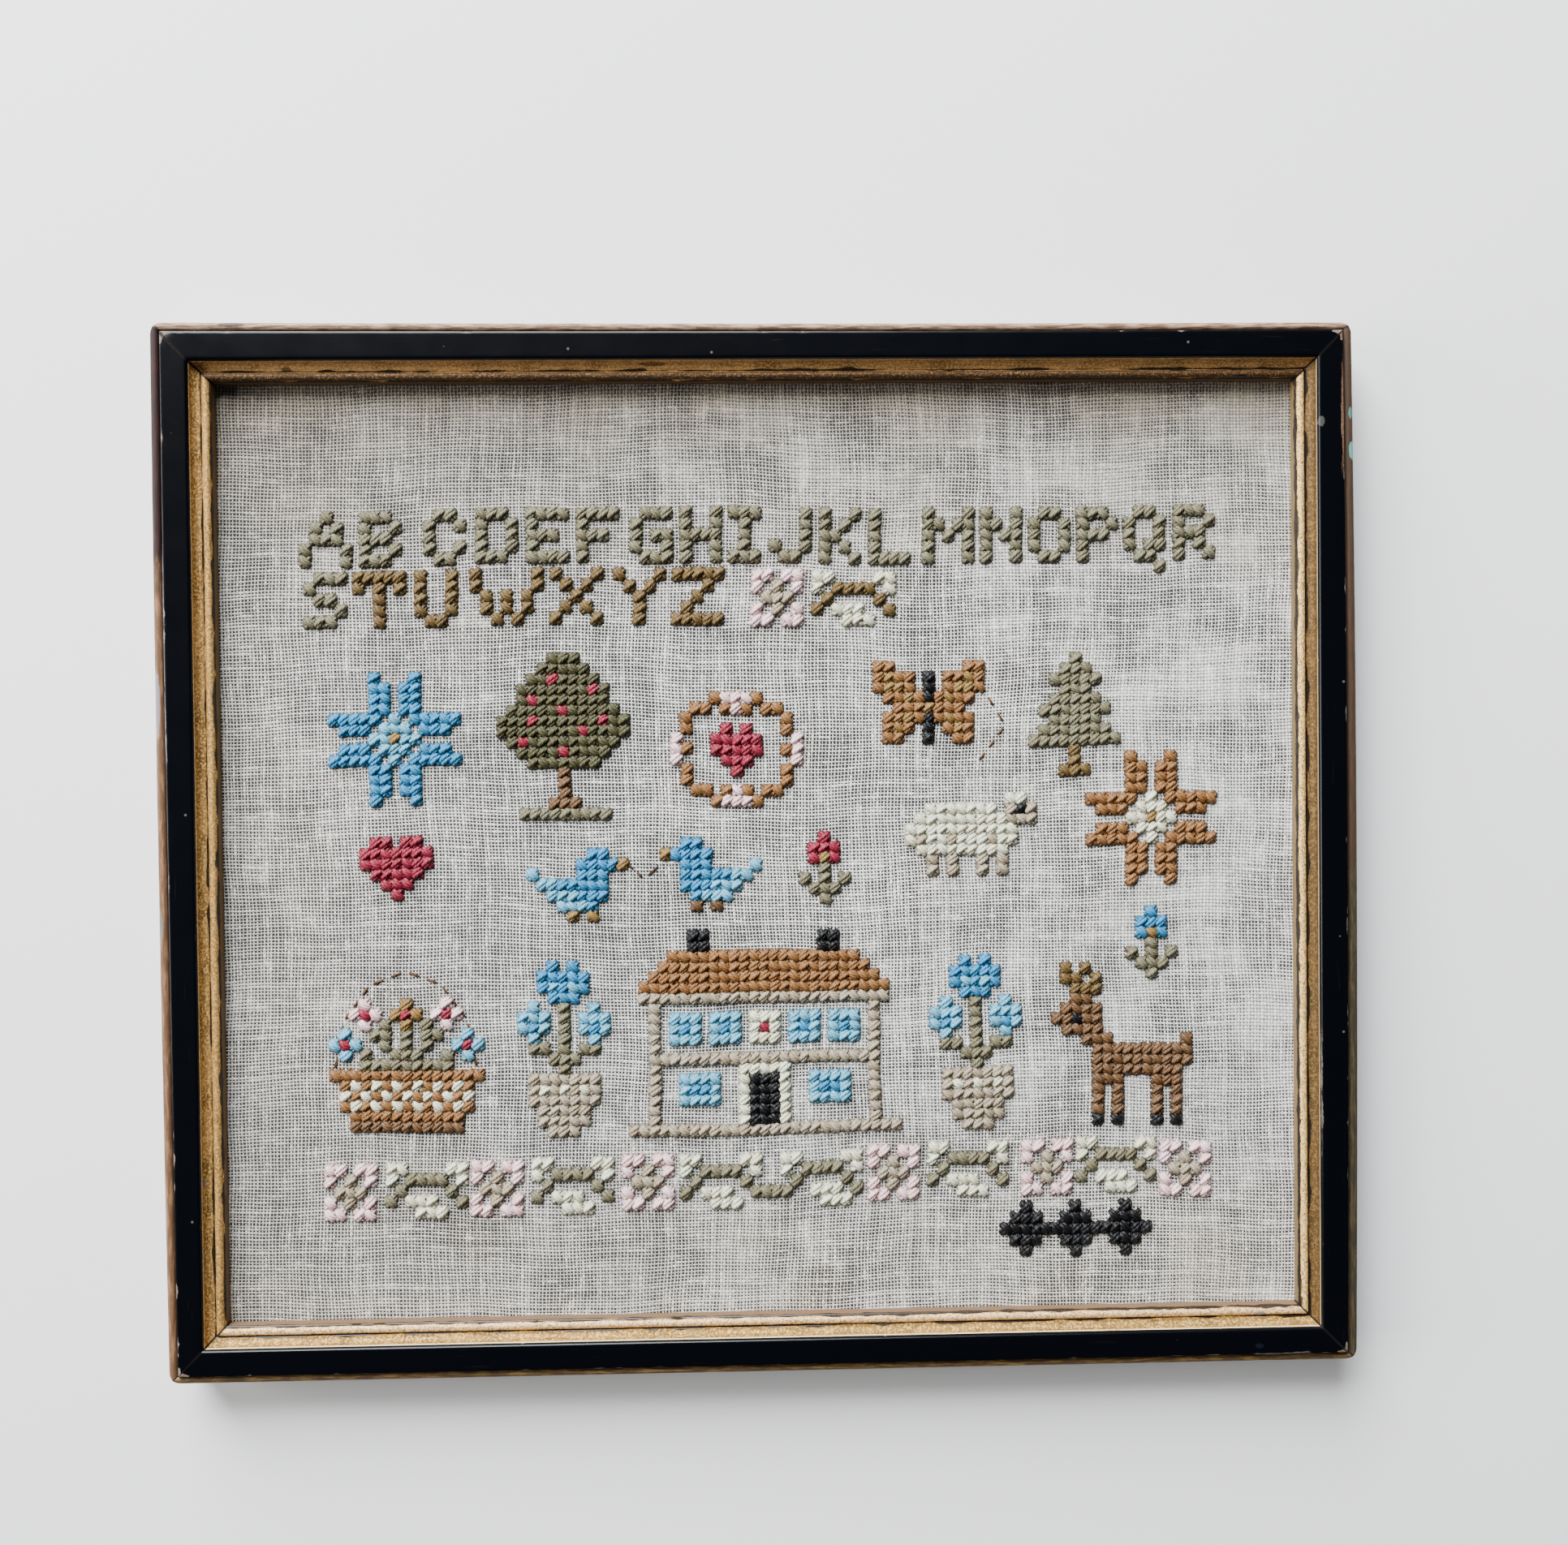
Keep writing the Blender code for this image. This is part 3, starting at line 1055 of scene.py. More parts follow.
CHARTS = (
    Chart("flower_by_alphabet", -1.6, 59.2, FLOWER, 2.12, 2.35),
    Chart("arch_by_alphabet", 11.2, 59.0, recolored(ARCH, "g", "b"), 2.18, 2.25),
    Chart("star_left", -91.0, 38.0, STAR),
    Chart("apple_tree", -55.5, 41.5, APPLE_TREE),
    Chart("wreath", -19.0, 33.5, WREATH),
    Chart("butterfly", 24.0, 40.0, BUTTERFLY),
    Chart("pine_tree", 57.5, 41.0, PINE),
    Chart("star_right", 69.5, 19.5, recolored(recolored(STAR, "s", "c"), "a", "w")),
    Chart("sheep", 31.0, 11.5, SHEEP),
    Chart("bird_left", -50.0, 0.5, recolored(BIRD, "r", "m")),
    Chart("bird_right", -21.5, 2.5, mirrored(BIRD)),
    Chart("heart", -85.0, 3.0, HEART),
    Chart("sprig_by_birds", 8.0, 4.0, SPRIG),
    Chart("sprig_by_stag", 78.0, -13.5, recolored(SPRIG, "x", "s")),
    Chart("basket", -92.0, -31.0, BASKET),
    Chart("tulip_pot_left", -52.5, -23.5, TULIPS),
    Chart("house", -29.0, -17.0, HOUSE),
    Chart("tulip_pot_right", 35.5, -23.5, TULIPS),
    Chart("stag", 61.5, -25.5, STAG),
    Chart("diamond_row", 50.2, -76.6, DIAMONDS, 2.13, 2.30),
)

# Left and top of each motif of the border, in millimetres
BORDER = (
    (FLOWER, -93.3, -66.3),
    (ARCH, -80.4, -66.0),
    (FLOWER, -62.3, -65.4),
    (ARCH, -49.6, -65.0),
    (FLOWER, -30.5, -64.6),
    (TWIN_ARCH, -18.3, -64.6),
    (FLOWER, 21.6, -63.9),
    (ARCH, 34.4, -63.4),
    (FLOWER, 54.7, -63.4),
    (ARCH, 66.4, -63.2),
    (FLOWER, 84.6, -63.9),
)
BORDER_PITCH = (2.13, 2.32)

# Running stitches through points in millimetres
RUNNING_STITCHES = (
    (Floss.CARAMEL, ((46.0, 36.0), (52.0, 26.0), (46.0, 18.0))),
    (Floss.RUSSET, ((-29.0, -2.5), (-25.2, -6.0), (-21.5, -2.5))),
)


def basket_handle(points: int = 7) -> tuple[tuple[float, float], ...]:
    """Return points in millimetres along the basket's round handle, from left to right."""
    left, foot = -91.0, -46.0
    half_width, height = 15.0, 21.0
    return tuple(
        (left + half_width * (1 - math.cos(angle)), foot + height * math.sin(angle))
        for angle in np.linspace(0, math.pi, points)
    )


@dataclass
class Stitchery:
    """Works the charts in cross stitch, over the holes of the weave."""

    work: FlossWork
    weave: Weave
    loose: float = 0.16
    swapped: float = 0.34
    under_rise: float = 0.26 * MM
    over_rise: float = 0.64 * MM
    half_width: float = 0.85 * MM
    overshoot: float = 0.06
    follow: float = 0.5
    dash_pitch: float = 3.4
    dash_start: float = 0.16
    dash_end: float = 0.84
    dash_rise: float = 0.22 * MM
    dash_half_width: float = 0.26 * MM

    STRAY_SEED = 5
    LETTER_SEED = 200
    ROW_SEEDS = 40
    BORDER_SEED = 100
    BORDER_WORK_SEED = 99
    DASH_WORK_SEED = 98

    def hole(self, chart: Chart, column: float, row: float) -> Vector:
        """Return where a corner hole of a chart lies on the cloth, in metres."""
        x = chart.left + column * chart.pitch_x
        y = chart.top - row * chart.pitch_y
        stray = noise.noise_vector(Vector((x * 0.9, y * 0.9, 3.0))) * self.loose
        x += stray.x - self.weave.wander_x(x, y) * self.follow
        y += stray.y - self.weave.wander_y(x, y) * self.follow
        return Vector((x * MM, y * MM))

    def leg(self, start: Vector, end: Vector, floss: Floss, rise: float) -> Leg:
        """Make a leg that reaches a little past its two holes."""
        past = (end - start) * self.overshoot
        first = start - past
        last = end + past
        return Leg(tuple(first), tuple(last), floss, rise, self.half_width)

    def crosses(self, chart: Chart, seed: int) -> list[Leg]:
        """Return both legs of every cross of a chart, the lower leg first.

        Args:
            chart: the motif.
            seed: fixes which crosses are worked the other way.
        Returns:
            The legs.
        """
        flosses = {floss.value.key: floss for floss in Floss}
        chance = random.Random(seed)
        legs = []
        for row, cells in enumerate(chart.rows):
            for column, key in enumerate(cells):
                if key == ".":
                    continue
                floss = flosses[key]
                upper_left = self.hole(chart, column, row)
                upper_right = self.hole(chart, column + 1, row)
                lower_left = self.hole(chart, column, row + 1)
                lower_right = self.hole(chart, column + 1, row + 1)
                falling = (upper_left, lower_right)
                rising = (lower_left, upper_right)
                if chance.random() < self.swapped:
                    falling, rising = rising, falling
                legs.append(self.leg(*falling, floss, self.under_rise))
                legs.append(self.leg(*rising, floss, self.over_rise))
        return legs

    def dashes(self, points: tuple[tuple[float, float], ...], floss: Floss) -> list[Leg]:
        """Return a line of running stitches through points given in millimetres."""
        legs = []
        for (x0, y0), (x1, y1) in zip(points, points[1:]):
            steps = max(1, round(math.dist((x0, y0), (x1, y1)) / self.dash_pitch))
            for step in range(steps):
                near = (step + self.dash_start) / steps
                far = (step + self.dash_end) / steps
                start = Vector((x0 + (x1 - x0) * near, y0 + (y1 - y0) * near)) * MM
                end = Vector((x0 + (x1 - x0) * far, y0 + (y1 - y0) * far)) * MM
                leg = Leg(tuple(start), tuple(end), floss, self.dash_rise, self.dash_half_width)
                legs.append(leg)
        return legs

    def build(self) -> list[bpy.types.Object]:
        """Work every motif, and return the pieces."""
        noise.seed_set(self.STRAY_SEED)
        pieces = []
        for group, row in enumerate((FIRST_ROW, SECOND_ROW)):
            legs = []
            for number, (letter, key, left) in enumerate(row.letters):
                cells = tuple(CAPITALS[letter].replace("#", key).split("/"))
                chart = Chart(row.name, left, row.top, cells, row.pitch_x, row.pitch_y)
                seed = self.LETTER_SEED + group * self.ROW_SEEDS + number
                legs.extend(self.crosses(chart, seed))
            pieces.append(self.work.build(row.name, legs, self.LETTER_SEED + group))
        for seed, chart in enumerate(CHARTS):
            pieces.append(self.work.build(chart.name, self.crosses(chart, seed), seed))
        border = []
        for number, (rows, left, top) in enumerate(BORDER):
            chart = Chart("border", left, top, rows, *BORDER_PITCH)
            border.extend(self.crosses(chart, self.BORDER_SEED + number))
        pieces.append(self.work.build("flower_border", border, self.BORDER_WORK_SEED))
        lines = self.dashes(basket_handle(), Floss.CARAMEL)
        for floss, points in RUNNING_STITCHES:
            lines.extend(self.dashes(points, floss))
        pieces.append(self.work.build("running_stitches", lines, self.DASH_WORK_SEED))
        return pieces


class Station(NamedTuple):
    """A corner of the moulding's section in millimetres; a mark names where a zone begins."""

    inset: float
    height: float
    mark: str = ""


class Arc(NamedTuple):
    """A round stretch of the section in millimetres and degrees."""

    inset: float
    height: float
    radius: float
    start: float
    end: float
    steps: int
    mark: str = ""


class MouldingSection:
    """The moulding's closed outline, from the foot of its outer wall round to the rebate."""

    FACE = 13.0
    SIGHT = 11.30
    LIP = 7.2
    REBATE = 6.0

    OUTLINE = (
        Station(0.55, 0.0, "outer_wall"),
        Station(0.55, 3.4),
        Station(0.55, 6.8),
        Station(0.55, 9.4),
        Arc(0.75, 11.05, 0.75, 255.0, 25.0, 12, "bead"),
        Station(1.50, 10.98, "quirk"),
        Station(1.58, 11.5, "chamfer"),
        Station(1.76, 12.1),
        Station(1.94, 12.65),
        Station(2.06, 12.92),
        Station(2.26, FACE, "face"),
        Station(2.6, FACE),
        Station(3.4, FACE),
        Station(4.3, FACE),
        Station(5.3, FACE),
        Station(6.2, FACE),
        Station(6.7, FACE),
        Station(6.95, 12.99),
        Station(7.12, 12.93, "inner_arris"),
        Station(7.28, 12.74),
        Station(7.43, 12.5),
        Station(7.56, 12.28, "gilt"),
        Station(7.60, 12.1),
        Arc(9.25, 11.87, 1.68, 180.0, 260.0, 9, "cove"),
        Station(9.20, 9.98, "groove"),
        Arc(10.25, 9.95, 0.85, 166.0, 12.0, 10, "rib"),
        Station(11.13, 9.92, "step"),
        Station(SIGHT, 9.80, "sight_wall"),
        Station(SIGHT, 9.0),
        Station(SIGHT, 8.1),
        Station(SIGHT, LIP, "lip"),
        Station(8.6, LIP),
        Station(REBATE, LIP, "rebate"),
        Station(REBATE, 3.6),
        Station(REBATE, 0.0, "back"),
        Station(3.3, 0.0),
    )

    def __init__(self) -> None:
        points = []
        marks = {}
        for item in self.OUTLINE:
            if item.mark:
                marks[item.mark] = len(points)
            if isinstance(item, Station):
                points.append((item.inset, item.height))
                continue
            for step in range(item.steps + 1):
                angle = math.radians(item.start + (item.end - item.start) * step / item.steps)
                inset = item.inset + item.radius * math.cos(angle)
                points.append((inset, item.height + item.radius * math.sin(angle)))
        self.points = np.array(points) * MM
        steps = np.linalg.norm(np.diff(self.points, axis=0, append=self.points[:1]), axis=1)
        self.runs = np.concatenate([[0.0], np.cumsum(steps)])
        self.marks = {mark: float(self.runs[index]) for mark, index in marks.items()}
        self.marks_mm = {mark: run / MM for mark, run in self.marks.items()}
        ahead = np.roll(self.points, -1, axis=0) - np.roll(self.points, 1, axis=0)
        ahead /= np.linalg.norm(ahead, axis=1)[:, None]
        self.normals = np.stack([-ahead[:, 1], ahead[:, 0]], axis=1)


class RubAndSheen(NamedTuple):
    """A pale line along an arris, mostly lacquer rubbed off and on the top rail a painted
    reflection: where, how much, from and to along the rail, in mm.
    """

    run: float
    amount: float
    start: float
    end: float
    color: Color


class Spot(NamedTuple):
    """A stain or scuff on a rail: place along it and round its section in mm, and look."""

    along: float
    run: float
    reach_along: float
    reach_run: float
    color: Color
    strength: float


@dataclass(frozen=True)
class MouldingFinish:
    """Black lacquer, gilt and worn wood, laid out round the moulding's section, with painted light
    and shade on the gilt.
    """

    name: str
    section: MouldingSection
    seed: float
    bead: Color
    bead_dark: Color
    bead_low: Color
    bead_turn: float
    bead_wear: float
    rubs_and_sheen: tuple[RubAndSheen, ...]
    rib_light_and_shade: Color
    rib_light_and_shade_share: float
    fleck: float
    painted_edge_highlight: float
    edge_highlight_width: float
    groove_grime_and_shade: float
    wall: Color
    spots: tuple[Spot, ...] = ()
    lacquer: Color = tone(2, 3, 6)
    gesso: Color = tone(112, 104, 98)
    bare_wood: Color = tone(108, 76, 54)
    gilt: Color = tone(160, 132, 82)
    bright_gilt: Color = tone(232, 192, 116)
    dull_gilt: Color = tone(98, 84, 48)
    brown_gilt: Color = tone(84, 54, 26)
    highlight_gilt: Color = tone(246, 222, 174)
    # Dark tone for grime, dark joints, and painted shade in the grooves and the quirk
    grime_and_shade: Color = tone(24, 20, 18)
    pale_wood: Color = tone(168, 134, 96)
    dark_wood: Color = tone(120, 88, 58)
    grain_height: float = 0.10 * MM

    def black(self, bench: Bench, along: Signal, run: Signal) -> tuple[Signal, Signal]:
        """Colour the lacquer, its rubbed edges and the top rail's painted sheen line.

        Args:
            bench: where the nodes go.
            along: place along the rail in millimetres.
            run: place round the section in millimetres.
        Returns:
            The colour, and the share worn to the wood, with the painted sheen line counted in.
        """
        place = bench.vector(along, run, self.seed)
        streak = bench.noise(bench.vector(along * 0.09, run * 2.6, self.seed), detail=4.0)
        ragged = bench.noise(place, scale=1.4, detail=4.0)
        fine = bench.noise(place, scale=3.6, detail=3.0)
        scratch = streak.rise(0.68, 0.74) * 0.03
        dust = bench.specks(place, 0.16, 0.055) * 0.5
        color = bench.mix((scratch + dust).smaller(1.0), self.lacquer, self.gesso)
        wear_and_sheen = (bench.attribute("chip") * 1.25 + ragged * 0.7 - 0.75).rise(0.0, 0.16)
        under = bench.mix(fine.rise(0.42, 0.6), self.gesso, self.bare_wood)
        color = bench.mix(wear_and_sheen, color, under)
        loss = bench.noise(bench.vector(along * 0.16, run * 0.9, self.seed + 30.0), detail=5.0)
        # Pale lines along the arrises: rubbed lacquer, and on the top rail a painted reflection
        for rub_and_sheen in self.rubs_and_sheen:
            width = (loss + rub_and_sheen.amount - 0.80) * 1.9
            share = (width - abs(run - rub_and_sheen.run)).rise(0.0, 0.10) * fine.rise(0.30, 0.48)
            share = share * along.band(rub_and_sheen.start, rub_and_sheen.end, 9.0)
            color = bench.mix(share * 0.85, color, rub_and_sheen.color)
            wear_and_sheen = wear_and_sheen.larger(share)
        return color, wear_and_sheen

    def leaf(self, bench: Bench, along: Signal, run: Signal) -> tuple[Signal, Signal, Signal]:
        """Colour the gilt, its pits, its painted highlights and shade, and the dark lines of grime
        and painted shade in its grooves.

        Args:
            bench: where the nodes go.
            along: place along the rail in millimetres.
            run: place round the section in millimetres.
        Returns:
            The colour, the grain of the leaf, and the share painted dark with grime and shade.
        """
        mark = self.section.marks_mm
        place = bench.vector(along, run, self.seed)
        patch = bench.noise(place, scale=0.22, detail=4.0)
        grain = bench.noise(place, scale=2.1, detail=3.0)
        fine = bench.noise(place, scale=4.2, detail=2.0)
        streak = bench.noise(bench.vector(along * 0.10, run * 2.2, self.seed), detail=4.0)
        dull = (patch * 0.7 + streak * 0.5 - 0.3).rise(0.18, 0.50)
        leaf = bench.mix(dull, self.gilt, self.dull_gilt)
        leaf = bench.mix(grain.rise(0.47, 0.62) * self.fleck, leaf, self.bright_gilt)
        leaf = bench.mix(fine.rise(0.50, 0.64) * 0.6, leaf, self.dull_gilt)
        rib = run.band(mark["rib"] + 0.35, mark["step"] - 0.2, 0.4)
        leaf = bench.mix(streak.rise(0.25, 0.75) * 0.2, leaf, self.brown_gilt)
        # The rib is painted with each rail's light and shade: dark on the top rail, cream on the
        # bottom and right rails
        flecks = (grain * 0.6 + fine * 0.5).rise(0.42, 0.58)
        rib_light_and_shade_cover = (rib * self.rib_light_and_shade_share * (0.35 + flecks * 0.65)).smaller(1.0)
        leaf = bench.mix(rib_light_and_shade_cover, leaf, self.rib_light_and_shade)
        pits = 0.64 + fine.rise(0.40, 0.60) * 0.36 + grain.rise(0.40, 0.60) * 0.28
        leaf = bench.tint(leaf, pits)
        # Painted highlight along the gilt's upper edge by the black, strongest on the bottom rail
        edge = run.band(mark["gilt"] - 0.04, mark["gilt"] + self.edge_highlight_width, 0.16)
        edge_highlight_share = edge * streak.rise(0.24, 0.46) * self.painted_edge_highlight
        leaf = bench.mix(edge_highlight_share, leaf, self.highlight_gilt)

        # Dark lines of dirt and painted shade: in the groove beside the rib, and along the step at
        # the sight edge
        dash = bench.noise(bench.vector(along * 0.14, run * 0.5, self.seed + 9.0), detail=5.0)
        reach = (dash + self.groove_grime_and_shade - 0.60) * 2.8 + (grain - 0.5) * 0.5
        grime_and_shade = (reach - abs(run - mark["groove"] - 0.05)).rise(0.0, 0.10)
        thin = run.band(mark["groove"] - 0.05, mark["groove"] + 0.13, 0.08)
        grime_and_shade = grime_and_shade.larger(thin * dash.rise(0.34, 0.44))
        lower = bench.noise(bench.vector(along * 0.2, run * 0.5, self.seed + 19.0), detail=5.0)
        reach = (lower + self.groove_grime_and_shade - 0.50) * 2.4 + (grain - 0.5) * 0.5
        line = (reach - abs(run - mark["sight_wall"] + 0.06)).rise(0.0, 0.10)
        grime_and_shade = grime_and_shade.larger(line)
        leaf = bench.mix(grime_and_shade * 0.95, leaf, self.grime_and_shade)
        return leaf, grain, grime_and_shade

    def material(self) -> bpy.types.Material:
        """Build the finish."""
        bench = Bench(self.name)
        along, run = bench.map_mm("run")
        mark = self.section.marks_mm
        place = bench.vector(along, run, self.seed)
        patch = bench.noise(place, scale=0.16, detail=3.0)
        ragged = bench.noise(place, scale=1.4, detail=4.0)
        fine = bench.noise(place, scale=3.6, detail=3.0)
        fibre = bench.noise(bench.vector(along * 0.12, run * 5.0, self.seed + 4.0), detail=4.0)
        black, wear_and_sheen = self.black(bench, along, run)
        leaf, grain, grime_and_shade = self.leaf(bench, along, run)

        # The wall of the sight edge, and the bead, rubbed gilt over a darker ground
        wall = run.rise(mark["sight_wall"] + 0.02, mark["sight_wall"] + 0.16)
        paint = bench.mix(fibre.rise(0.4, 0.7) * 0.5, self.wall, self.dull_gilt)
        leaf = bench.mix(wall * (1.0 - grime_and_shade), leaf, paint)
        grainy = bench.noise(bench.vector(along * 0.22, run * 2.2, self.seed + 2.0), detail=5.0)
        mottle = grainy * 0.8 + patch * 0.2 + ragged * 0.1 - 0.62 + self.bead_wear * 0.3
        mottle = mottle.rise(-0.08, 0.12)
        lower = (along + (patch - 0.5) * 16.0).rise(self.bead_turn + 5.0, self.bead_turn - 5.0)
        ground = bench.mix(lower, self.bead, self.bead_low)
        bead = bench.mix(mottle * (1.0 - lower * 0.4), ground, self.bead_dark)
        bead = bench.mix(fine.rise(0.58, 0.70) * 0.4, bead, self.grime_and_shade)

        # Zones round the section
        at = run + (ragged - 0.5) * 0.10
        is_black = at.band(mark["quirk"] + 0.05, mark["gilt"] - 0.08, 0.06)
        is_gilt = at.rise(mark["gilt"] - 0.11, mark["gilt"] - 0.05)
        color = bench.mix(is_black, bead, black)
        # The quirk is painted dark: grime and painted shade in its recess
        quirk = run.band(mark["quirk"] - 0.14, mark["quirk"] + 0.30, 0.12)
        color = bench.mix(quirk * 0.92, color, self.grime_and_shade)
        color = bench.mix(is_gilt, color, leaf)
        for spot in self.spots:
            across = (along - spot.along) / spot.reach_along
            around = (run - spot.run) / spot.reach_run
            near = (1.0 - (across * across + around * around)) + (ragged - 0.5) * 0.9
            color = bench.mix(near.rise(0.0, 0.35) * spot.strength, color, spot.color)
        joint = bench.attribute("mitre") + (ragged - 0.5) * 0.1
        color = bench.mix(joint.rise(0.34, 0.16) * 0.9, color, self.grime_and_shade)
        is_wood = run.rise(mark["lip"] + 0.02, mark["lip"] + 0.2)
        wood = bench.mix(fibre.rise(0.35, 0.68), self.pale_wood, self.dark_wood)
        color = bench.mix(is_wood, color, wood)

        # Gloss and grain
        shine = is_gilt * (1.0 - is_wood) * (1.0 - wall) * (1.0 - grime_and_shade)
        dull = wear_and_sheen.larger(is_wood)
        rough = 0.20 + patch * 0.06 + shine * 0.36 + dull * 0.5 + wall * 0.4
        rough = (rough + (1.0 - is_black) * (1.0 - is_gilt) * 0.30).smaller(0.92)
        height = fine * 0.10 + grain * shine * 0.7 + fibre * is_wood * 0.4 - grime_and_shade * 0.3
        height = height - wear_and_sheen * 0.5
        normal = bench.relief(height, self.grain_height, 0.8)
        return bench.dress(
            Base_Color=color, Roughness=rough, Metallic=shine * 0.32, Normal=normal,
            Specular_IOR_Level=0.24,
        )


class Chips(NamedTuple):
    """The chips along an arris: where it lies, how many, and their largest size in mm."""

    mark: str
    shift: float
    count: int
    length: float
    depth: float
    reach: float


@dataclass(frozen=True)
class Rail:
    """One mitred length of moulding."""

    name: str
    node: str
    turn: float
    length: float
    reach: float
    seed: int
    section: MouldingSection
    finish: MouldingFinish
    chips: tuple[Chips, ...]
    swell: float
    end_swell: float
    bow: tuple[float, float, float]
    tips: tuple[float, float]
    slices: int = 420
    mitre_gap: float = 0.05 * MM
    swell_inset: float = 2.2 * MM
    bow_inset: float = 7.0 * MM
    corner_radius: float = 2.8 * MM
    corner_wear: float = 0.12
    corner_wear_length: float = 2.6
    corner_wear_reach: float = 0.6
    waver: float = 0.022
    roughness: float = 0.008

    def straight(self) -> bmesh.types.BMesh:
        """Sweep the section along X between square ends, with its station on each point."""
        solid = bmesh.new()
        station = solid.verts.layers.int.new("station")
        ring = []
        for index, (inset, height) in enumerate(self.section.points):
            vertex = solid.verts.new((-self.length / 2, self.reach - inset, height))
            vertex[station] = index
            ring.append(vertex)
        edges = [solid.edges.new(pair) for pair in zip(ring, ring[1:] + ring[:1])]
        swept = bmesh.ops.extrude_edge_only(solid, edges=edges)["geom"]
        far_ring = [item for item in swept if isinstance(item, bmesh.types.BMVert)]
        bmesh.ops.translate(solid, vec=(self.length, 0.0, 0.0), verts=far_ring)
        far = [item for item in swept if isinstance(item, bmesh.types.BMEdge)]
        lengthwise = [edge for edge in solid.edges if edge.calc_length() > self.length / 2]
        bmesh.ops.contextual_create(solid, geom=edges)
        bmesh.ops.contextual_create(solid, geom=far)
        bmesh.ops.subdivide_edges(solid, edges=lengthwise, cuts=self.slices - 1)
        bmesh.ops.recalc_face_normals(solid, faces=solid.faces)
        return solid

    def wear(self, x: np.ndarray, index: np.ndarray) -> tuple[np.ndarray, np.ndarray]:
        """Work out how far the surface has worn back from its sharp section.

        Args:
            x: place along the rail.
            index: station on the section.
        Returns:
            How far each point moves outward, and its share of a chip.
        """
        chance = random.Random(self.seed)
        run = self.section.runs[index]
        push = np.array([
            noise.noise(Vector((a * 140.0, r * 260.0, self.seed * 7.0))) * self.waver * MM
            + noise.noise(Vector((a * 700.0, r * 700.0, self.seed * 3.0))) * self.roughness * MM
            for a, r in zip(x, run)
        ])
        chip = np.zeros(len(x))
        for kind in self.chips:
            arris = self.section.marks[kind.mark] + kind.shift * MM
            for _ in range(kind.count):
                middle = chance.uniform(-0.5, 0.5) * self.length
                half = (0.25 + chance.random() ** 2.5) * kind.length * MM / 2
                deep = chance.uniform(0.3, 1.0) * kind.depth * MM
                wide = chance.uniform(0.5, 1.0) * kind.reach * MM
                near = 1.0 - ((x - middle) / half) ** 2 - ((run - arris) / wide) ** 2
                share = ease(np.clip(near, 0.0, 1.0))
                chip = np.maximum(chip, share)
                push = np.minimum(push, push * (1 - share) - deep * share)
        arris = self.section.marks["face"]
        corner = 1.0 - ((self.length / 2 - np.abs(x)) / (self.corner_wear_length * MM)) ** 2
        around = (run - arris + 0.1 * MM) / (self.corner_wear_reach * MM)
        corner = np.clip(corner - around**2, 0.0, 1.0)
        chip = np.maximum(chip, ease(corner))
        return push - ease(corner) * self.corner_wear * MM, chip

    def build(self) -> bpy.types.Object:
        """Model, mitre, wear and dress the rail."""
        solid = self.straight()
        mesh = bpy.data.meshes.new(self.name)
        solid.to_mesh(mesh)
        solid.free()
        count = len(mesh.vertices)
        points = np.empty(count * 3, dtype=np.float32)
        mesh.vertices.foreach_get("co", points)
        points = points.reshape(-1, 3).astype(float)
        index = np.empty(count, dtype=np.int32)
        mesh.attributes["station"].data.foreach_get("value", index)
        share = points[:, 0] / (self.length / 2)
        push, chip = self.wear(points[:, 0], index)
        flat = self.section.points[index, 0]
        outer = np.clip(1.0 - flat / self.swell_inset, 0.0, 1.0)
        inset = flat + self.section.normals[index, 0] * push - self.swell * outer
        height = self.section.points[index, 1] + self.section.normals[index, 1] * push
        ends = self.length / 2 - flat + self.end_swell * outer - self.mitre_gap
        x = share * ends
        y = self.reach - inset
        x, y = self.round_corners(x, y)
        x, y = self.bend(x, y, share, flat)
        placed = np.stack([x, y, np.maximum(height, 0.0)], axis=1)
        spin = np.array(Matrix.Rotation(math.radians(self.turn), 3, "Z"))
        placed = placed @ spin.T
        mesh.vertices.foreach_set("co", placed.astype(np.float32).ravel())
        chips = mesh.attributes.new("chip", "FLOAT", "POINT")
        chips.data.foreach_set("value", chip.astype(np.float32))
        mitre = mesh.attributes.new("mitre", "FLOAT", "POINT")
        mitre.data.foreach_set("value", ((ends - np.abs(x)) / MM).astype(np.float32))
        self.map_run(mesh, x, index)
        mesh.shade_smooth()
        mesh.set_sharp_from_angle(angle=math.radians(38.0))
        mesh.materials.append(self.finish.material())
        mesh.update()
        piece = add_piece(self.name, mesh)
        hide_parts(self.node)
        return piece

    def round_corners(self, x: np.ndarray, y: np.ndarray) -> tuple[np.ndarray, np.ndarray]:
        """Pull what stands past the worn corners back to their radius, in plan."""
        mid_x = self.length / 2 + self.end_swell - self.corner_radius
        mid_y = self.reach + self.swell - self.corner_radius
        out_x = np.maximum(np.abs(x) - mid_x, 0.0)
        out_y = np.maximum(y - mid_y, 0.0)
        far = np.hypot(out_x, out_y)
        scale = np.where(far > self.corner_radius, self.corner_radius / np.maximum(far, 1e-9), 1.0)
        corner = (out_x > 0.0) & (out_y > 0.0)
        x = np.where(corner, np.sign(x) * (mid_x + out_x * scale), x)
        y = np.where(corner, mid_y + out_y * scale, y)
        return x, y

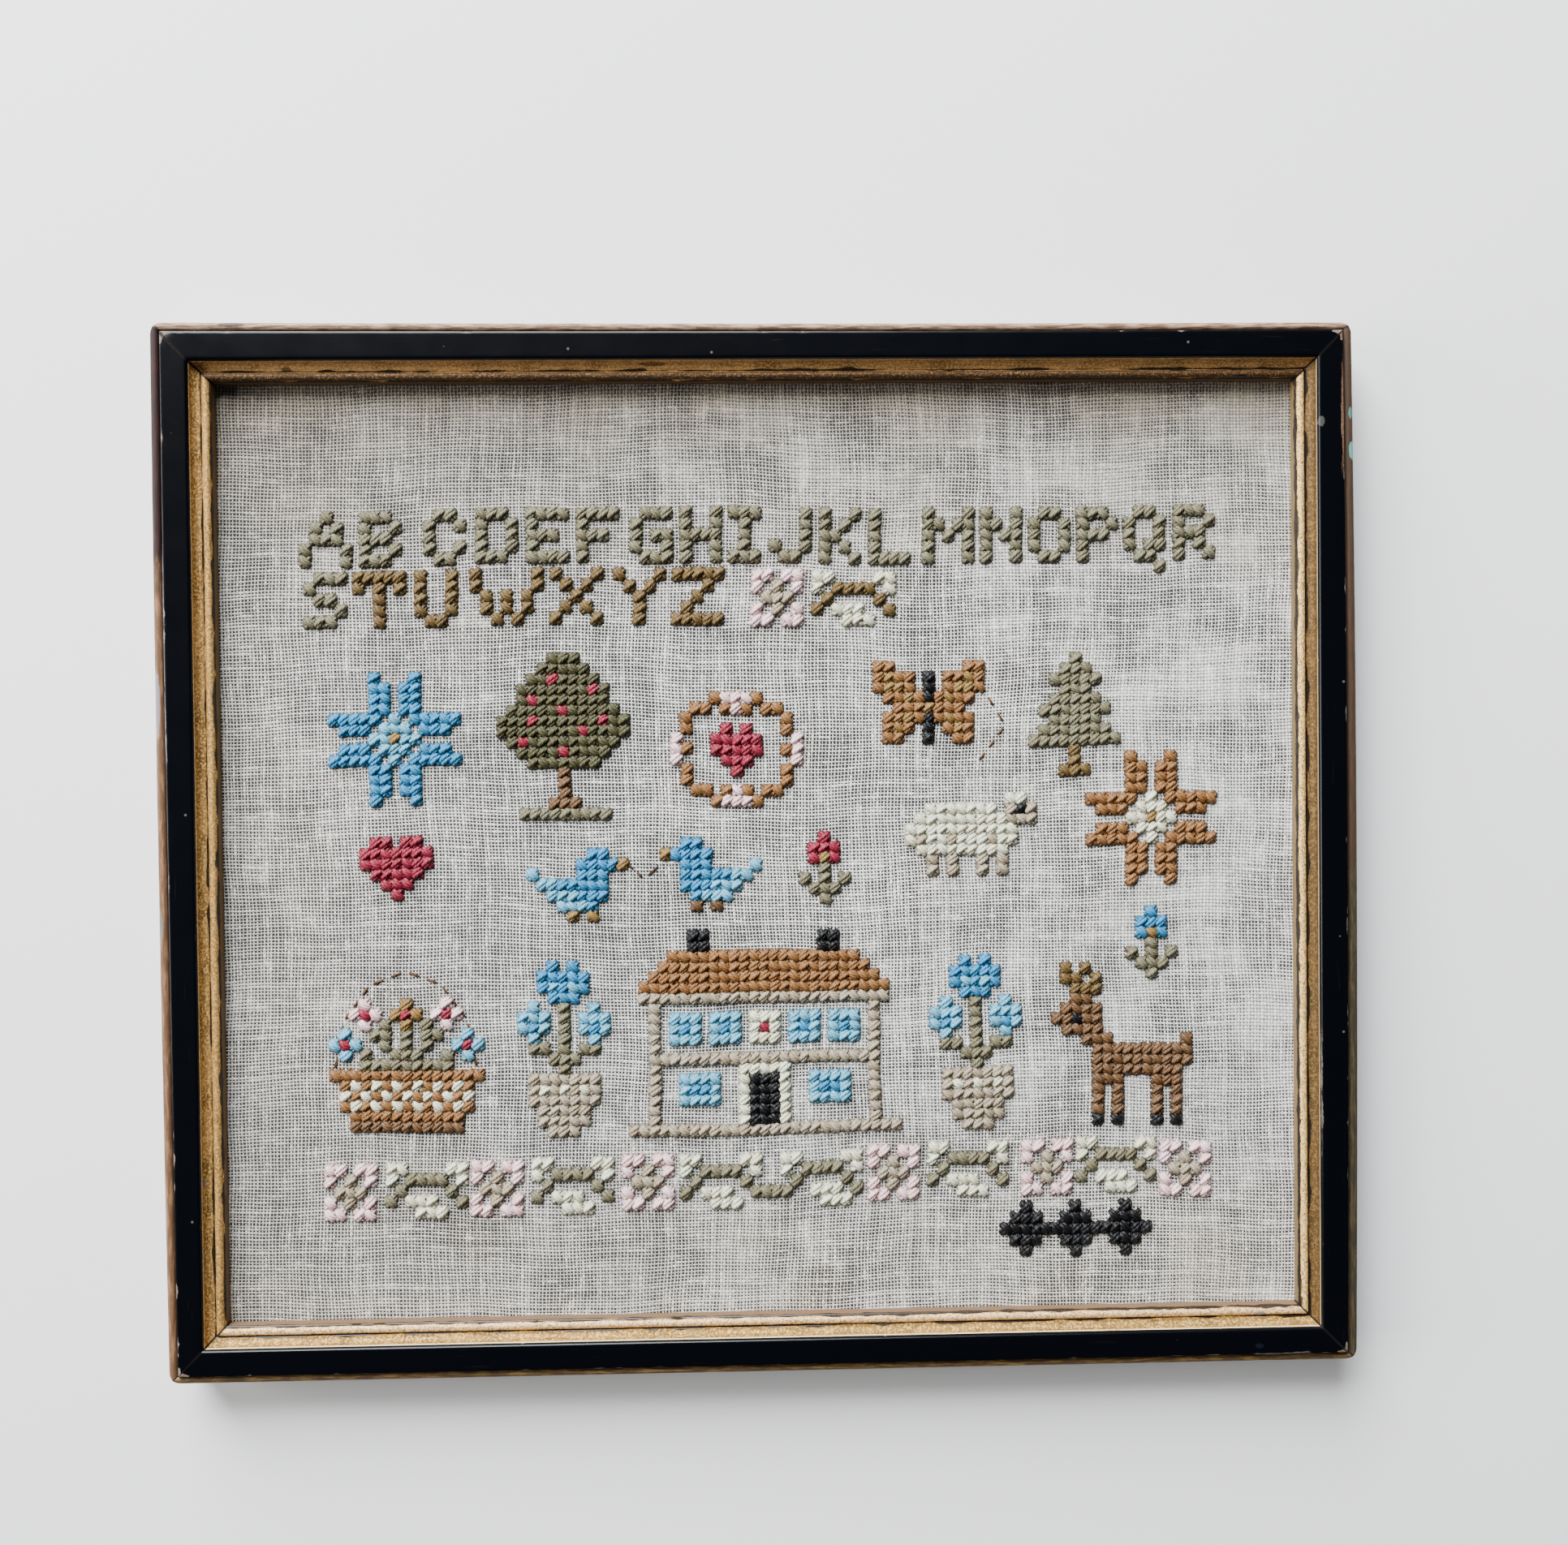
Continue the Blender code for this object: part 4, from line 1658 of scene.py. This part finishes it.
    def bend(self, x, y, share: np.ndarray, inset: np.ndarray) -> tuple[np.ndarray, np.ndarray]:
        """Bow the rail's outer half a little, and let its tips meet their neighbours.

        Args:
            x: place along the rail.
            y: place across it.
            share: place along the rail, from -1 to 1.
            inset: how far in from the outer edge each point lies.
        Returns:
            The new places along and across.
        """
        first, middle, last = (amount * MM for amount in self.bow)
        weight = np.clip(1.0 - inset / self.bow_inset, 0.0, 1.0)
        out = middle + (last - first) / 2 * share + ((first + last) / 2 - middle) * share**2
        tip = np.where(share < 0.0, self.tips[0], self.tips[1]) * MM
        return x + np.sign(x) * tip * np.abs(share) ** 8 * weight, y + out * weight

    def map_run(self, mesh: bpy.types.Mesh, along: np.ndarray, index: np.ndarray) -> None:
        """Give the rail its own map: place along it, and run round its section."""
        corners = np.empty(len(mesh.loops), dtype=np.int32)
        mesh.loops.foreach_get("vertex_index", corners)
        starts = np.empty(len(mesh.polygons), dtype=np.int32)
        mesh.polygons.foreach_get("loop_start", starts)
        station = index[corners]
        highest = np.maximum.reduceat(station, starts)
        sizes = np.diff(np.append(starts, len(corners)))
        highest = np.repeat(highest, sizes)
        last = len(self.section.points) - 1
        run = np.where((station == 0) & (highest == last), last + 1, station)
        layer = mesh.uv_layers.new(name="run")
        values = np.stack([along[corners] + self.seed * 0.4, self.section.runs[run]], axis=1)
        layer.uv.foreach_set("vector", values.astype(np.float32).ravel())


@dataclass(frozen=True)
class BackingBoard:
    """The plain board behind the linen."""

    low: Vector
    high: Vector
    edge_round: float = 0.25 * MM
    pale: Color = tone(150, 116, 78)
    dark: Color = tone(112, 84, 54)
    fleck: Color = tone(70, 50, 32)

    def build(self) -> bpy.types.Object:
        """Model the board with softened edges and dress it as fibreboard."""
        solid = bmesh.new()
        bmesh.ops.create_cube(solid, size=1.0)
        size = self.high - self.low
        bmesh.ops.scale(solid, vec=size, verts=solid.verts)
        bmesh.ops.translate(solid, vec=(self.low + self.high) / 2, verts=solid.verts)
        bmesh.ops.bevel(
            solid, geom=solid.edges[:], offset=self.edge_round, affect="EDGES", segments=2,
            profile=0.5, material=-1,
        )
        mesh = bpy.data.meshes.new("fibre_board")
        solid.to_mesh(mesh)
        solid.free()
        mesh.materials.append(self.finish())
        piece = add_piece("fibre_board", mesh)
        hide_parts("backing_board")
        return piece

    def finish(self) -> bpy.types.Material:
        """Build the board's finish: pressed brown fibres."""
        bench = Bench("fibre_board")
        x, y, z = bench.position_mm()
        place = bench.vector(x, y, z)
        fibre = bench.noise(place, scale=0.9, detail=5.0)
        cloud = bench.noise(place, scale=0.03, detail=3.0)
        flecks = bench.specks(place, 0.5, 0.16)
        color = bench.mix(fibre.rise(0.3, 0.7), self.pale, self.dark)
        color = bench.mix(flecks * 0.5, color, self.fleck)
        color = bench.tint(color, 0.85 + cloud * 0.3)
        normal = bench.relief(fibre, 0.08 * MM, 0.6)
        return bench.dress(Base_Color=color, Roughness=0.82, Normal=normal)


@dataclass(frozen=True)
class Studio:
    """The camera, the lights and the pale floor."""

    camera_place: Vector = Vector((-4.05, 21.50, 327.94)) * MM
    camera_turn: tuple[float, float, float] = (-0.908, -1.568, -0.592)
    lens: float = 34.66
    floor_tone: Color = tone(240, 240, 240)
    floor_half_size: float = 1.6
    floor_drop: float = 0.2 * MM
    world_tone: Color = (0.80, 0.88, 1.0)
    world_strength: float = 0.10

    def place_camera(self) -> None:
        """Look down at the sampler as the photograph does."""
        data = bpy.data.cameras.new("camera")
        data.lens = self.lens
        data.sensor_width = 36.0
        data.clip_start = 0.01
        camera = bpy.data.objects.new("camera", data)
        camera.location = self.camera_place
        camera.rotation_euler = Euler([math.radians(angle) for angle in self.camera_turn])
        bpy.context.scene.collection.objects.link(camera)
        bpy.context.scene.camera = camera

    def add_light(self, name: str, place: Vector, size: float, power: float, color: Color) -> None:
        """Add a square soft light that faces the sampler's middle."""
        data = bpy.data.lights.new(name, "AREA")
        data.size = size
        data.energy = power
        data.color = color
        light = bpy.data.objects.new(name, data)
        light.location = place
        light.rotation_euler = (-place).to_track_quat("-Z", "Y").to_euler()
        bpy.context.scene.collection.objects.link(light)

    def lay_floor(self) -> None:
        """Lay the plain pale floor just under the frame's back."""
        solid = bmesh.new()
        bmesh.ops.create_grid(solid, x_segments=1, y_segments=1, size=self.floor_half_size)
        bmesh.ops.translate(solid, vec=(0.0, 0.0, -self.floor_drop), verts=solid.verts)
        mesh = bpy.data.meshes.new("floor")
        solid.to_mesh(mesh)
        solid.free()
        bench = Bench("floor")
        mesh.materials.append(bench.dress(Base_Color=self.floor_tone, Roughness=0.9))
        floor = bpy.data.objects.new("floor", mesh)
        bpy.context.scene.collection.objects.link(floor)

    def build(self) -> None:
        """Set up the camera, the floor, the world's even light and the lamps."""
        self.place_camera()
        self.lay_floor()
        world = bpy.data.worlds.new("studio")
        world.use_nodes = True
        background = world.node_tree.nodes["Background"]
        background.inputs["Color"].default_value = (*self.world_tone, 1.0)
        background.inputs["Strength"].default_value = self.world_strength
        bpy.context.scene.world = world
        self.add_light(
            "window", place=Vector((-0.45, 1.20, 0.80)), size=1.1, power=112.0,
            color=(0.96, 0.98, 1.0),
        )
        self.add_light(
            "side", place=Vector((-1.35, 0.10, 0.60)), size=0.8, power=26.0,
            color=(1.0, 0.98, 0.95),
        )


def make_rails(section: MouldingSection) -> list[Rail]:
    """Describe the four rails: their places, their finishes and their wear."""
    width = CAD_BOX[1][0] - CAD_BOX[0][0]
    height = CAD_BOX[1][1] - CAD_BOX[0][1]
    cove = section.marks_mm["cove"]
    bead = section.marks_mm["bead"]
    face = section.marks_mm["face"]
    inner = section.marks_mm["inner_arris"] + 0.22
    rib = section.marks_mm["rib"]
    outer = face - 0.12
    common = (
        Chips("gilt", -0.1, 12, 2.0, 0.05, 0.22),
        Chips("step", -0.1, 12, 3.0, 0.08, 0.25),
    )
    # Each rail's bead, gilt, rib and sight wall tones are partly painted light and shade: one gilt
    # and one paint, lighter or darker rail by rail as each side takes the light, over real wear
    top = MouldingFinish(
        name="moulding_top", section=section, seed=1.0,
        bead=tone(176, 146, 122), bead_dark=tone(110, 82, 64),
        bead_low=tone(176, 146, 122), bead_turn=0.0, bead_wear=0.34,
        # The top rail's pale blue line along the outer arris is a painted reflection of the sky
        rubs_and_sheen=(RubAndSheen(outer, 0.10, 270.0, 530.0, tone(84, 96, 130)),),
        rib_light_and_shade=tone(54, 34, 16), rib_light_and_shade_share=1.15, fleck=0.7,
        painted_edge_highlight=0.10, edge_highlight_width=0.2, groove_grime_and_shade=0.20,
        wall=tone(86, 60, 36), gilt=tone(204, 160, 102), dull_gilt=tone(148, 114, 66),
        bright_gilt=tone(226, 180, 116), brown_gilt=tone(84, 56, 28),
        spots=(
            Spot(378.0, cove + 1.2, 3.0, 0.6, tone(60, 46, 26), 0.7),
            Spot(291.0, bead + 1.9, 3.0, 0.5, tone(40, 34, 30), 0.9),
            Spot(302.0, cove + 2.2, 1.2, 0.6, tone(50, 42, 22), 0.7),
        ),
    )
    left = MouldingFinish(
        name="moulding_left", section=section, seed=2.0,
        bead=tone(52, 26, 22), bead_dark=tone(36, 20, 18),
        bead_low=tone(138, 102, 72), bead_turn=860.0, bead_wear=0.45,
        rubs_and_sheen=(
            RubAndSheen(outer - 0.3, 0.42, 822.0, 862.0, tone(150, 152, 164)),
            RubAndSheen(outer, 0.22, 692.0, 830.0, tone(96, 90, 82)),
            RubAndSheen(inner, 0.20, 692.0, 812.0, tone(64, 60, 54)),
        ),
        rib_light_and_shade=tone(196, 152, 86), rib_light_and_shade_share=0.5, fleck=0.8,
        painted_edge_highlight=0.50, edge_highlight_width=0.22, groove_grime_and_shade=0.18,
        wall=tone(112, 84, 52), gilt=tone(188, 146, 86), bright_gilt=tone(238, 194, 116),
        dull_gilt=tone(122, 94, 50),
        spots=(
            Spot(732.0, cove + 0.4, 1.0, 0.7, tone(110, 110, 120), 0.8),
            Spot(832.0, bead + 1.6, 8.0, 0.8, tone(140, 136, 140), 0.7),
            Spot(786.0, bead + 1.5, 4.0, 0.8, tone(104, 106, 94), 0.7),
        ),
    )
    bottom = MouldingFinish(
        name="moulding_bottom", section=section, seed=3.0,
        bead=tone(126, 100, 58), bead_dark=tone(74, 56, 36),
        bead_low=tone(126, 100, 58), bead_turn=0.0, bead_wear=0.42,
        rubs_and_sheen=(
            RubAndSheen(outer, 0.12, 1070.0, 1330.0, tone(92, 90, 86)),
            RubAndSheen(outer, 0.34, 1086.0, 1112.0, tone(96, 96, 98)),
        ),
        rib_light_and_shade=tone(228, 190, 142), rib_light_and_shade_share=0.85, fleck=0.6,
        painted_edge_highlight=1.0, edge_highlight_width=0.5, groove_grime_and_shade=0.22,
        wall=tone(110, 84, 64), gilt=tone(166, 128, 64), bright_gilt=tone(232, 190, 118),
        dull_gilt=tone(116, 90, 44),
        spots=(
            Spot(1096.0, face + 1.6, 0.9, 0.6, tone(16, 19, 30), 0.7),
            Spot(1095.0, rib + 0.6, 1.5, 0.8, tone(120, 116, 134), 0.7),
            Spot(1216.0, cove + 1.4, 1.6, 0.6, tone(104, 96, 62), 0.6),
        ),
    )
    right = MouldingFinish(
        name="moulding_right", section=section, seed=4.0,
        bead=tone(74, 64, 44), bead_dark=tone(52, 46, 34),
        bead_low=tone(74, 52, 38), bead_turn=1604.0, bead_wear=0.4,
        rubs_and_sheen=(
            RubAndSheen(outer, 0.22, 1480.0, 1720.0, tone(88, 88, 84)),
            RubAndSheen(outer, 0.46, 1500.0, 1519.0, tone(108, 80, 60)),
            RubAndSheen(inner, 0.24, 1500.0, 1712.0, tone(78, 76, 74)),
            RubAndSheen(inner + 0.1, 0.42, 1642.0, 1660.0, tone(96, 88, 78)),
        ),
        rib_light_and_shade=tone(236, 196, 124), rib_light_and_shade_share=0.9, fleck=0.5,
        painted_edge_highlight=0.5, edge_highlight_width=0.20, groove_grime_and_shade=0.25,
        wall=tone(120, 98, 64), gilt=tone(96, 72, 38), bright_gilt=tone(140, 106, 58),
        dull_gilt=tone(74, 58, 32),
        spots=(
            Spot(1517.0, bead + 1.6, 2.2, 0.7, tone(96, 168, 160), 0.85),
            Spot(1509.0, bead + 1.9, 1.4, 0.4, tone(96, 150, 146), 0.6),
            Spot(1511.0, inner - 0.5, 1.2, 0.8, tone(70, 70, 68), 0.8),
        ),
    )
    edge = Chips("face", -0.15, 8, 2.0, 0.12, 0.25)
    heavy = Chips("face", -0.15, 10, 4.0, 0.12, 0.26)
    wide = 0.55 * MM
    return [
        Rail(
            name="moulding_top", node="rail_top", turn=0.0, length=width, reach=height / 2,
            seed=1, section=section, finish=top, chips=(*common, edge), swell=0.0,
            end_swell=wide, bow=(0.8, 0.25, 0.2), tips=(0.0, -0.3),
        ),
        Rail(
            name="moulding_left", node="rail_left", turn=90.0, length=height, reach=width / 2,
            seed=2, section=section, finish=left, chips=(*common, heavy), swell=wide,
            end_swell=0.0, bow=(-0.4, 0.1, 0.0), tips=(0.0, 0.8),
        ),
        Rail(
            name="moulding_bottom", node="rail_bottom", turn=180.0, length=width,
            reach=height / 2, seed=3, section=section, finish=bottom, chips=(*common, edge),
            swell=0.0, end_swell=wide, bow=(0.0, 0.0, 0.0), tips=(0.0, -0.4),
        ),
        Rail(
            name="moulding_right", node="rail_right", turn=270.0, length=height,
            reach=width / 2, seed=4, section=section, finish=right, chips=(*common, edge),
            swell=wide, end_swell=0.0, bow=(-0.3, 0.5, 0.0), tips=(0.2, 0.0),
        ),
    ]


def main() -> None:
    """Build the studio, the frame, the linen and its stitches."""
    logging.basicConfig(level=logging.INFO, format="%(name)s: %(message)s")
    Studio().build()
    section = MouldingSection()
    for rail in make_rails(section):
        rail.build()
    board_low, board_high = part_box("backing_board")
    BackingBoard(Vector(board_low), Vector(board_high)).build()
    low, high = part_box("cloth")
    width, height = high[0] - low[0], high[1] - low[1]
    sight = section.points[:, 0].max()
    sheet = LinenSheet(
        width=width, height=height, top=section.LIP * MM - CLOTH_DROP,
        sight_x=CAD_BOX[1][0] - sight, sight_y=CAD_BOX[1][1] - sight,
    )
    weave = Weave()
    cloth = sheet.build(LinenFinish(weave))
    finishes = {floss: FlossFinish(floss).material() for floss in Floss}
    work = FlossWork(sheet, finishes, StrandBlank())
    stitched = Stitchery(work, weave).build()


if __name__ == "__main__":
    main()
